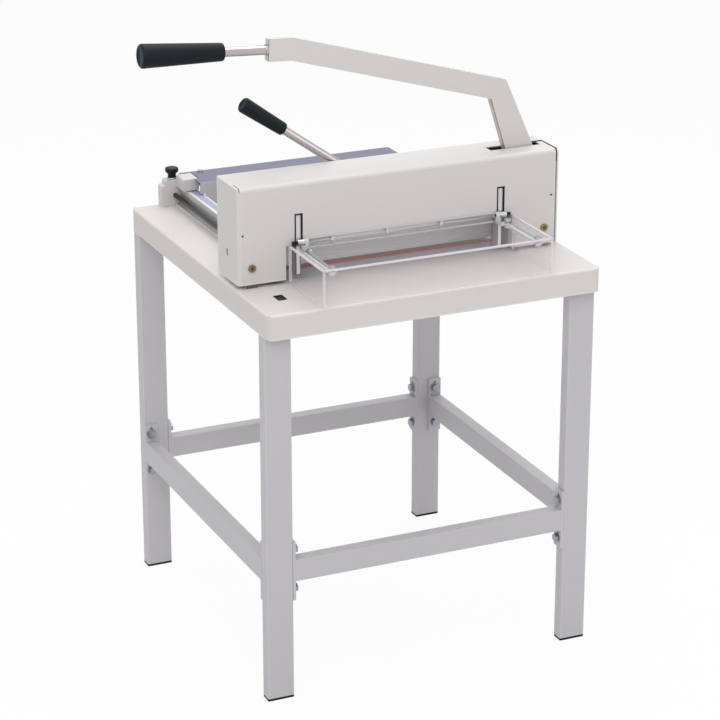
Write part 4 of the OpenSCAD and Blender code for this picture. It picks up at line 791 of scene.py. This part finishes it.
@dataclass
class SlotTrim(Dresser):
    """Black edging in the two upright slots of the front cover, and a black disc of painted shade
    over its side slot.
    """

    centres: tuple[float, float] = (119.25, 512.75)
    slot: float = 15.5
    foot: float = 806.0
    head: float = 862.0
    front: float = 147.3
    wall: float = 2.7
    deep: float = 2.6
    proud: float = 0.3
    bevel: float = 0.5 * MM
    side_slot: tuple[float, float, float] = (4.8, 197.2, 793.3)
    slot_shade_shape: tuple[float, float, float] = (1.0, 1.7, 7.2)
    post_width: float = 9.0
    post_line: float = 1.3 * MM
    post_lift: float = 0.2 * MM
    post_bevel: float = 0.3 * MM

    def build(self) -> None:
        """Lines each slot's two sides and its upper end, and covers the side slot with a black
        disc of painted shade.
        """
        y0, y1 = self.front - self.proud, self.front - self.proud + self.deep
        for i, x in enumerate(self.centres):
            a, b, w = x - self.slot / 2, x + self.slot / 2, self.wall
            bars = {
                "left": ((a, y0, self.foot), (a + w, y1, self.head)),
                "right": ((b - w, y0, self.foot), (b, y1, self.head)),
                "head": ((a, y0, self.head - w), (b, y1, self.head)),
            }
            for part, (low, high) in bars.items():
                start, end = ((np.array(v) + TABLE_CORNER) * MM for v in (low, high))
                piece = Surface.bar(f"slot_trim_{i}_{part}", start, end, self.bevel)
                self.put(piece, BLACK, "stand_and_frame")
        self._posts()
        # Painted shade: a thin black oval disc just proud of the side slot stands in for the dark
        # hole.
        at = (np.array(self.side_slot) + TABLE_CORNER) * MM
        radii = np.array([0.0, 1.0, 1.0, 0.9, 0.0]) * MM
        heights = np.array([0.0, 0.0, 0.12, 0.2, 0.2]) * MM
        left = Vector((-1, 0, 0))
        slot_shade = Surface.turned("side_slot_plug", radii, heights, Vector(), left, sides=32)
        Surface.outward(slot_shade)
        spots = np.array([v.co for v in slot_shade.data.vertices]) * self.slot_shade_shape + at
        slot_shade.data.vertices.foreach_set("co", spots.ravel())
        self.put(slot_shade, BLACK, "stand_and_frame")

    def _posts(self) -> None:
        """Edges the two posts below the slots, with a cross piece at their feet."""
        low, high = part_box("guard_posts")
        across = min(self.slot - 2 * self.wall, self.post_width) * MM / 2
        line, lift = self.post_line, self.post_lift
        front, foot, top = low.y - lift, low.z, self.foot * MM
        for i, x in enumerate((low.x + across, high.x - across)):
            a, b, y = x - across, x + across, low.y + line
            bars = {
                "left": ((a - lift, front, foot), (a + line, y, top)),
                "right": ((b - line, front, foot), (b + lift, y, top)),
                "foot": ((a, front, foot - lift), (b, y, foot + line)),
            }
            for part, (start, end) in bars.items():
                piece = Surface.bar(f"post_trim_{i}_{part}", np.array(start), np.array(end),
                                    self.post_bevel)
                self.put(piece, BLACK, "stand_and_frame")


@dataclass
class EndTrim(Dresser):
    """The dark seal that shows as a line on the housing's top, round its right end."""

    top: float = 919.0
    lines: tuple[tuple[float, float, float, float], ...] = (
        (605.5, 208.2, 626.0, 211.2),
        (624.4, 151.0, 627.2, 210.0),
    )
    sunk: float = 0.6
    proud: float = 0.25
    bevel: float = 0.4 * MM

    def build(self) -> None:
        """Lays the two lines on the top face."""
        for i, (x0, y0, x1, y1) in enumerate(self.lines):
            low = (np.array((x0, y0, self.top - self.sunk)) + TABLE_CORNER) * MM
            high = (np.array((x1, y1, self.top + self.proud)) + TABLE_CORNER) * MM
            line = Surface.bar(f"end_seal_line_{i}", low, high, self.bevel)
            self.put(line, SEAL_AND_SEAM_SHADE, "stand_and_frame")


@dataclass
class LockSockets(Dresser):
    """Dark discs of painted shade for the key holes, and the rolled rims of the two brass lock
    screws.
    """

    socket: float = 3.7 * MM
    rim: float = 0.9 * MM

    def build(self) -> None:
        """Turns a rim for each screw head, and a flat dark disc of painted shade for its key hole,
        on the cover's front.
        """
        low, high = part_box("cover_lock_screws")
        r = (high.z - low.z) / 2
        front = Vector((0, -1, 0))
        for name, x in (("left", low.x + r), ("right", high.x - r)):
            base = Vector((x, low.y, (low.z + high.z) / 2))
            rim = Surface.turned(
                f"lock_rim_{name}",
                np.array([r - self.rim, r - self.rim * 0.8, r - self.rim * 0.3, r, r]),
                np.array([0.0, 0.25, 0.3, 0.1, -0.6]) * MM, base, front)
            self.put(rim, BRASS, "stand_and_frame")
            # Painted shade: a flat dark hexagonal disc just proud of the head stands in for the
            # shaded key hole.
            hole = Surface.turned(
                f"lock_socket_shade_{name}", np.array([0.0, 0.8, 1.0, 1.0]) * self.socket,
                np.array([0.06, 0.08, 0.04, 0.0]) * MM, base, front, sides=6)
            Surface.outward(hole)
            self.put(hole, SOCKET_SHADE, "stand_and_frame")


@dataclass
class Grips(Dresser):
    """The two firm foam grips, turned with a rounded neck and a dished, rimmed free end."""

    lever_radii: tuple[float, float] = (15.6 * MM, 21.25 * MM)
    clamp_radii: tuple[float, float] = (11.8 * MM, 14.25 * MM)
    neck_round: float = 3.2 * MM
    end_round: float = 4.6 * MM
    short: float = 3.8 * MM
    dish: float = 1.1 * MM
    end_share: float = 0.15
    width_share: float = 0.2

    def build(self) -> None:
        """Measures each plain grip's axis, and turns the fine one in its place."""
        for node, body, (thin, thick) in (
            ("lever_grip", "cutting_lever", self.lever_radii),
            ("clamp_grip", "clamp_lever", self.clamp_radii),
        ):
            neck, axis, long = self._measure(node)
            n, e = self.neck_round, self.end_round
            long -= self.short
            quarter = np.linspace(0.0, np.pi / 2, 7)
            body_at = np.linspace(n, long - e, 9)
            body_r = thin + (thick - thin) * body_at / long
            heights = np.concatenate([
                [0.0], n * (1 - np.cos(quarter[:-1])), body_at,
                long - e + e * np.sin(quarter[1:]), [long, long - self.dish, long - self.dish]])
            radii = np.concatenate([
                [0.0], body_r[0] - n + n * np.sin(quarter[:-1]), body_r,
                body_r[-1] - e + e * np.cos(quarter[1:]),
                [body_r[-1] - e * 1.3, body_r[-1] - e * 1.6, 0.0]])
            grip = Surface.turned(f"{node}_foam", radii, heights, neck, axis, sides=96)
            Surface.outward(grip)
            self.put(grip, FOAM, body)
            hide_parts(node)

    def _measure(self, node: str) -> tuple[Vector, Vector, float]:
        """Finds a tapered grip's axis: the line through the middles of its two ends.

        Args:
            node: the plain grip's node.

        Returns:
            The neck's middle, the axis's direction and the length.
        """
        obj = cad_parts[node]
        spots = np.array([obj.matrix_world @ v.co for v in obj.data.vertices])
        axis = np.linalg.svd(spots - spots.mean(0), full_matrices=False)[2][0]
        for _ in range(4):
            along = spots @ axis
            cut = (along.max() - along.min()) * self.end_share
            ends = [spots[along < along.min() + cut], spots[along > along.max() - cut]]
            mids = [(e.min(0) + e.max(0)) / 2 for e in ends]
            axis = (mids[1] - mids[0]) / np.linalg.norm(mids[1] - mids[0])
        along = spots @ axis
        off = np.linalg.norm(spots - mids[0] - np.outer((spots - mids[0]) @ axis, axis), axis=1)
        cut = (along.max() - along.min()) * self.width_share
        first = off[along < along.min() + cut].max()
        last = off[along > along.max() - cut].max()
        start = mids[0] + axis * (along.min() - mids[0] @ axis)
        long = float(along.max() - along.min())
        if first > last:
            start, axis, first, last = start + axis * long, -axis, last, first
        return Vector(start), Vector(axis), long


@dataclass
class LobedKnob(Dresser):
    """The flared clamping knob with its shallow lobes, in place of the plain solid."""

    lobes: int = 10
    depth: float = 0.05
    tall: float = 21.5 * MM

    def build(self) -> None:
        """Turns the knob's head, neck and washer."""
        low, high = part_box("gauge_knob")
        centre = (low + high) / 2
        r = (high.x - low.x) / 2
        base = Vector((centre.x, centre.y, high.z - self.tall))
        radii = r * np.array(
            [0.0, 0.6, 0.62, 0.61, 0.62, 0.7, 0.86, 0.97, 1.0, 1.0, 0.97, 0.9, 0.55, 0.0])
        heights = self.tall * np.array(
            [0.115, 0.115, 0.13, 0.3, 0.42, 0.5, 0.6, 0.67, 0.73, 0.88, 0.96, 0.995, 1.0, 0.985])
        lobed = np.array([0, 0, 0, 0, 0, 0.1, 0.5, 0.9, 1, 1, 0.8, 0.3, 0, 0.0])
        head = Surface.turned("knob_head", radii, heights, base, Vector((0, 0, 1)),
                              self.lobes, self.depth, lobed, 120)
        Surface.outward(head)
        self.put(head, BLACK, "gauge_knob")
        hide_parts("gauge_knob")
        radii = np.array([0.0, 0.62, 0.66, 0.66, 0.62, 0.0]) * r
        heights = np.array([0.0, 0.0, 0.015, 0.1, 0.116, 0.116]) * self.tall
        washer = Surface.turned("knob_washer", radii, heights, base, Vector((0, 0, 1)))
        Surface.outward(washer)
        self.put(washer, CHROME, "gauge_knob")


@dataclass
class CoverSeams(Dresser):
    """A dark strip of painted shade for the short open seam across the front cover's upper bend,
    near its left end.
    """

    gap: float = 1.6 * MM
    reach: float = 20.0 * MM
    bend: float = 8.0 * MM
    lift: float = 0.12 * MM
    inset: float = 4.8 * MM
    turn_share: float = 0.8
    steps: int = 12

    def build(self) -> None:
        """Makes the seam's painted shade: a dark strip from the top face round the bend's quarter
        circle.
        """
        low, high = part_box("front_cover")
        turn = np.linspace(0.0, np.pi / 2 * self.turn_share, self.steps)
        ring = self.bend + self.lift
        flat_end = low.y + self.bend
        y = np.concatenate([[flat_end + self.reach], flat_end - ring * np.sin(turn)])
        z = np.concatenate([[high.z + self.lift], high.z - self.bend + ring * np.cos(turn)])
        x = low.x + self.inset + np.array([-self.gap, self.gap]) / 2
        across = np.repeat(x[:, None], len(y), 1)
        points = np.stack([across, np.stack([y, y]), np.stack([z, z])], -1)
        # Painted shade: the dark strip lies just over the cover where the open seam's gap shows
        # dark.
        seam = Surface.mesh("corner_seam", points.reshape(-1, 3),
                            Surface.quads(2, len(y), False, False), True)
        self.put(seam, SEAL_AND_SEAM_SHADE, "stand_and_frame")


@dataclass
class Studio:
    """The pale room, its soft lamps and the camera at the photograph's angle."""

    eye: tuple[float, float, float] = (-1833.13, -4236.1, 2234.31)
    yaw: float = 0.42368
    pitch: float = 0.358335
    lens: float = 132.49
    sensor: float = 36.0
    clip: tuple[float, float] = (0.1, 60.0)
    floor_half: float = 14.0
    floor_grey: float = 0.9
    floor_roughness: float = 0.9
    floor_glow: float = 0.93
    room_light: float = 0.5
    aim: tuple[float, float, float] = (0.0, -0.1, 0.7)
    lamps: tuple[tuple[str, tuple[float, float, float], float, float], ...] = (
        ("key_lamp", (-1.6, -2.6, 3.4), 2.4, 62.0),
        ("top_lamp", (0.4, 0.6, 3.6), 3.0, 60.0),
        ("fill_lamp", (2.8, -2.4, 1.6), 2.4, 14.0),
    )

    def build(self) -> None:
        """Makes the camera, the floor, the world and the lamps."""
        self._camera()
        self._floor()
        self._world()
        for lamp in self.lamps:
            self._lamp(*lamp)

    def _camera(self) -> None:
        """Places the camera with its level horizon and no shift."""
        data = bpy.data.cameras.new("camera")
        data.sensor_width = self.sensor
        data.lens = self.lens
        data.clip_start, data.clip_end = self.clip
        cam = bpy.data.objects.new("camera", data)
        bpy.context.scene.collection.objects.link(cam)
        cam.location = Vector(self.eye) * MM
        look = Vector((math.sin(self.yaw) * math.cos(self.pitch),
                       math.cos(self.yaw) * math.cos(self.pitch), -math.sin(self.pitch)))
        cam.rotation_euler = look.to_track_quat("-Z", "Y").to_euler()
        bpy.context.scene.camera = cam
        LOG.info("camera at %s", tuple(round(v, 3) for v in cam.location))

    @staticmethod
    def _seen(tree) -> bpy.types.NodeSocket:
        """Adds up the camera, glossy and transmission rays in a node tree.

        Args:
            tree: the tree to add the nodes to.

        Returns:
            A socket that is one for those rays.
        """
        path = tree.nodes.new("ShaderNodeLightPath")
        first = Groups.compute(tree, "MAXIMUM", path.outputs["Is Camera Ray"],
                             path.outputs["Is Glossy Ray"])
        return Groups.compute(tree, "MAXIMUM", first, path.outputs["Is Transmission Ray"])

    def _floor(self) -> None:
        """Makes a wide pale floor that keeps a soft shadow."""
        half = self.floor_half
        points = [[-half, -half, 0.0], [half, -half, 0.0], [half, half, 0.0], [-half, half, 0.0]]
        floor = Surface.mesh("floor", np.array(points), np.array([[0, 1, 2, 3]]), False)
        mat = bpy.data.materials.new("pale_floor")
        mat.use_nodes = True
        tree = mat.node_tree
        shader = tree.nodes["Principled BSDF"]
        shader.inputs["Base Color"].default_value = (*[self.floor_grey] * 3, 1.0)
        shader.inputs["Roughness"].default_value = self.floor_roughness
        glow = tree.nodes.new("ShaderNodeEmission")
        glow.inputs["Strength"].default_value = 1.0
        mix = tree.nodes.new("ShaderNodeMixShader")
        share = Groups.compute(tree, "MULTIPLY", self._seen(tree), self.floor_glow)
        tree.links.new(share, mix.inputs["Fac"])
        tree.links.new(shader.outputs["BSDF"], mix.inputs[1])
        tree.links.new(glow.outputs["Emission"], mix.inputs[2])
        tree.links.new(mix.outputs["Shader"], tree.nodes["Material Output"].inputs["Surface"])
        floor.data.materials.append(mat)

    def _world(self) -> None:
        """Lights the room evenly and shows white behind the machine."""
        world = bpy.data.worlds.new("room")
        bpy.context.scene.world = world
        world.use_nodes = True
        tree = world.node_tree
        back = tree.nodes["Background"]
        back.inputs["Color"].default_value = (1.0, 1.0, 1.0, 1.0)
        level = tree.nodes.new("ShaderNodeMapRange")
        level.inputs["To Min"].default_value = self.room_light
        level.inputs["To Max"].default_value = 1.0
        tree.links.new(self._seen(tree), level.inputs["Value"])
        tree.links.new(level.outputs["Result"], back.inputs["Strength"])

    def _lamp(
        self, name: str, place: tuple[float, float, float], size: float, power: float
    ) -> None:
        """Adds a soft square lamp that faces the machine.

        Args:
            name: the lamp's name.
            place: where it hangs.
            size: its side's length.
            power: its power in watts.
        """
        data = bpy.data.lights.new(name, "AREA")
        data.size = size
        data.energy = power
        lamp = bpy.data.objects.new(name, data)
        bpy.context.scene.collection.objects.link(lamp)
        lamp.location = place
        look = Vector(self.aim) - Vector(place)
        lamp.rotation_euler = look.to_track_quat("-Z", "Y").to_euler()


def main() -> None:
    """Builds the room and dresses the machine's sub-assemblies in order."""
    logging.basicConfig(level=logging.INFO, format="%(message)s")
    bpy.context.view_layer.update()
    bpy.context.scene.view_settings.view_transform = "Standard"
    Studio().build()
    book = FinishBook(Groups())
    pieces = (CadFinishes, GuardEdges, ClampLines, SlotTrim, EndTrim, LockSockets, Grips,
              LobedKnob, CoverSeams)
    for part in (kind(book) for kind in pieces):
        part.build()
        LOG.info("finished %s", type(part).__name__)


if __name__ == "__main__":
    main()
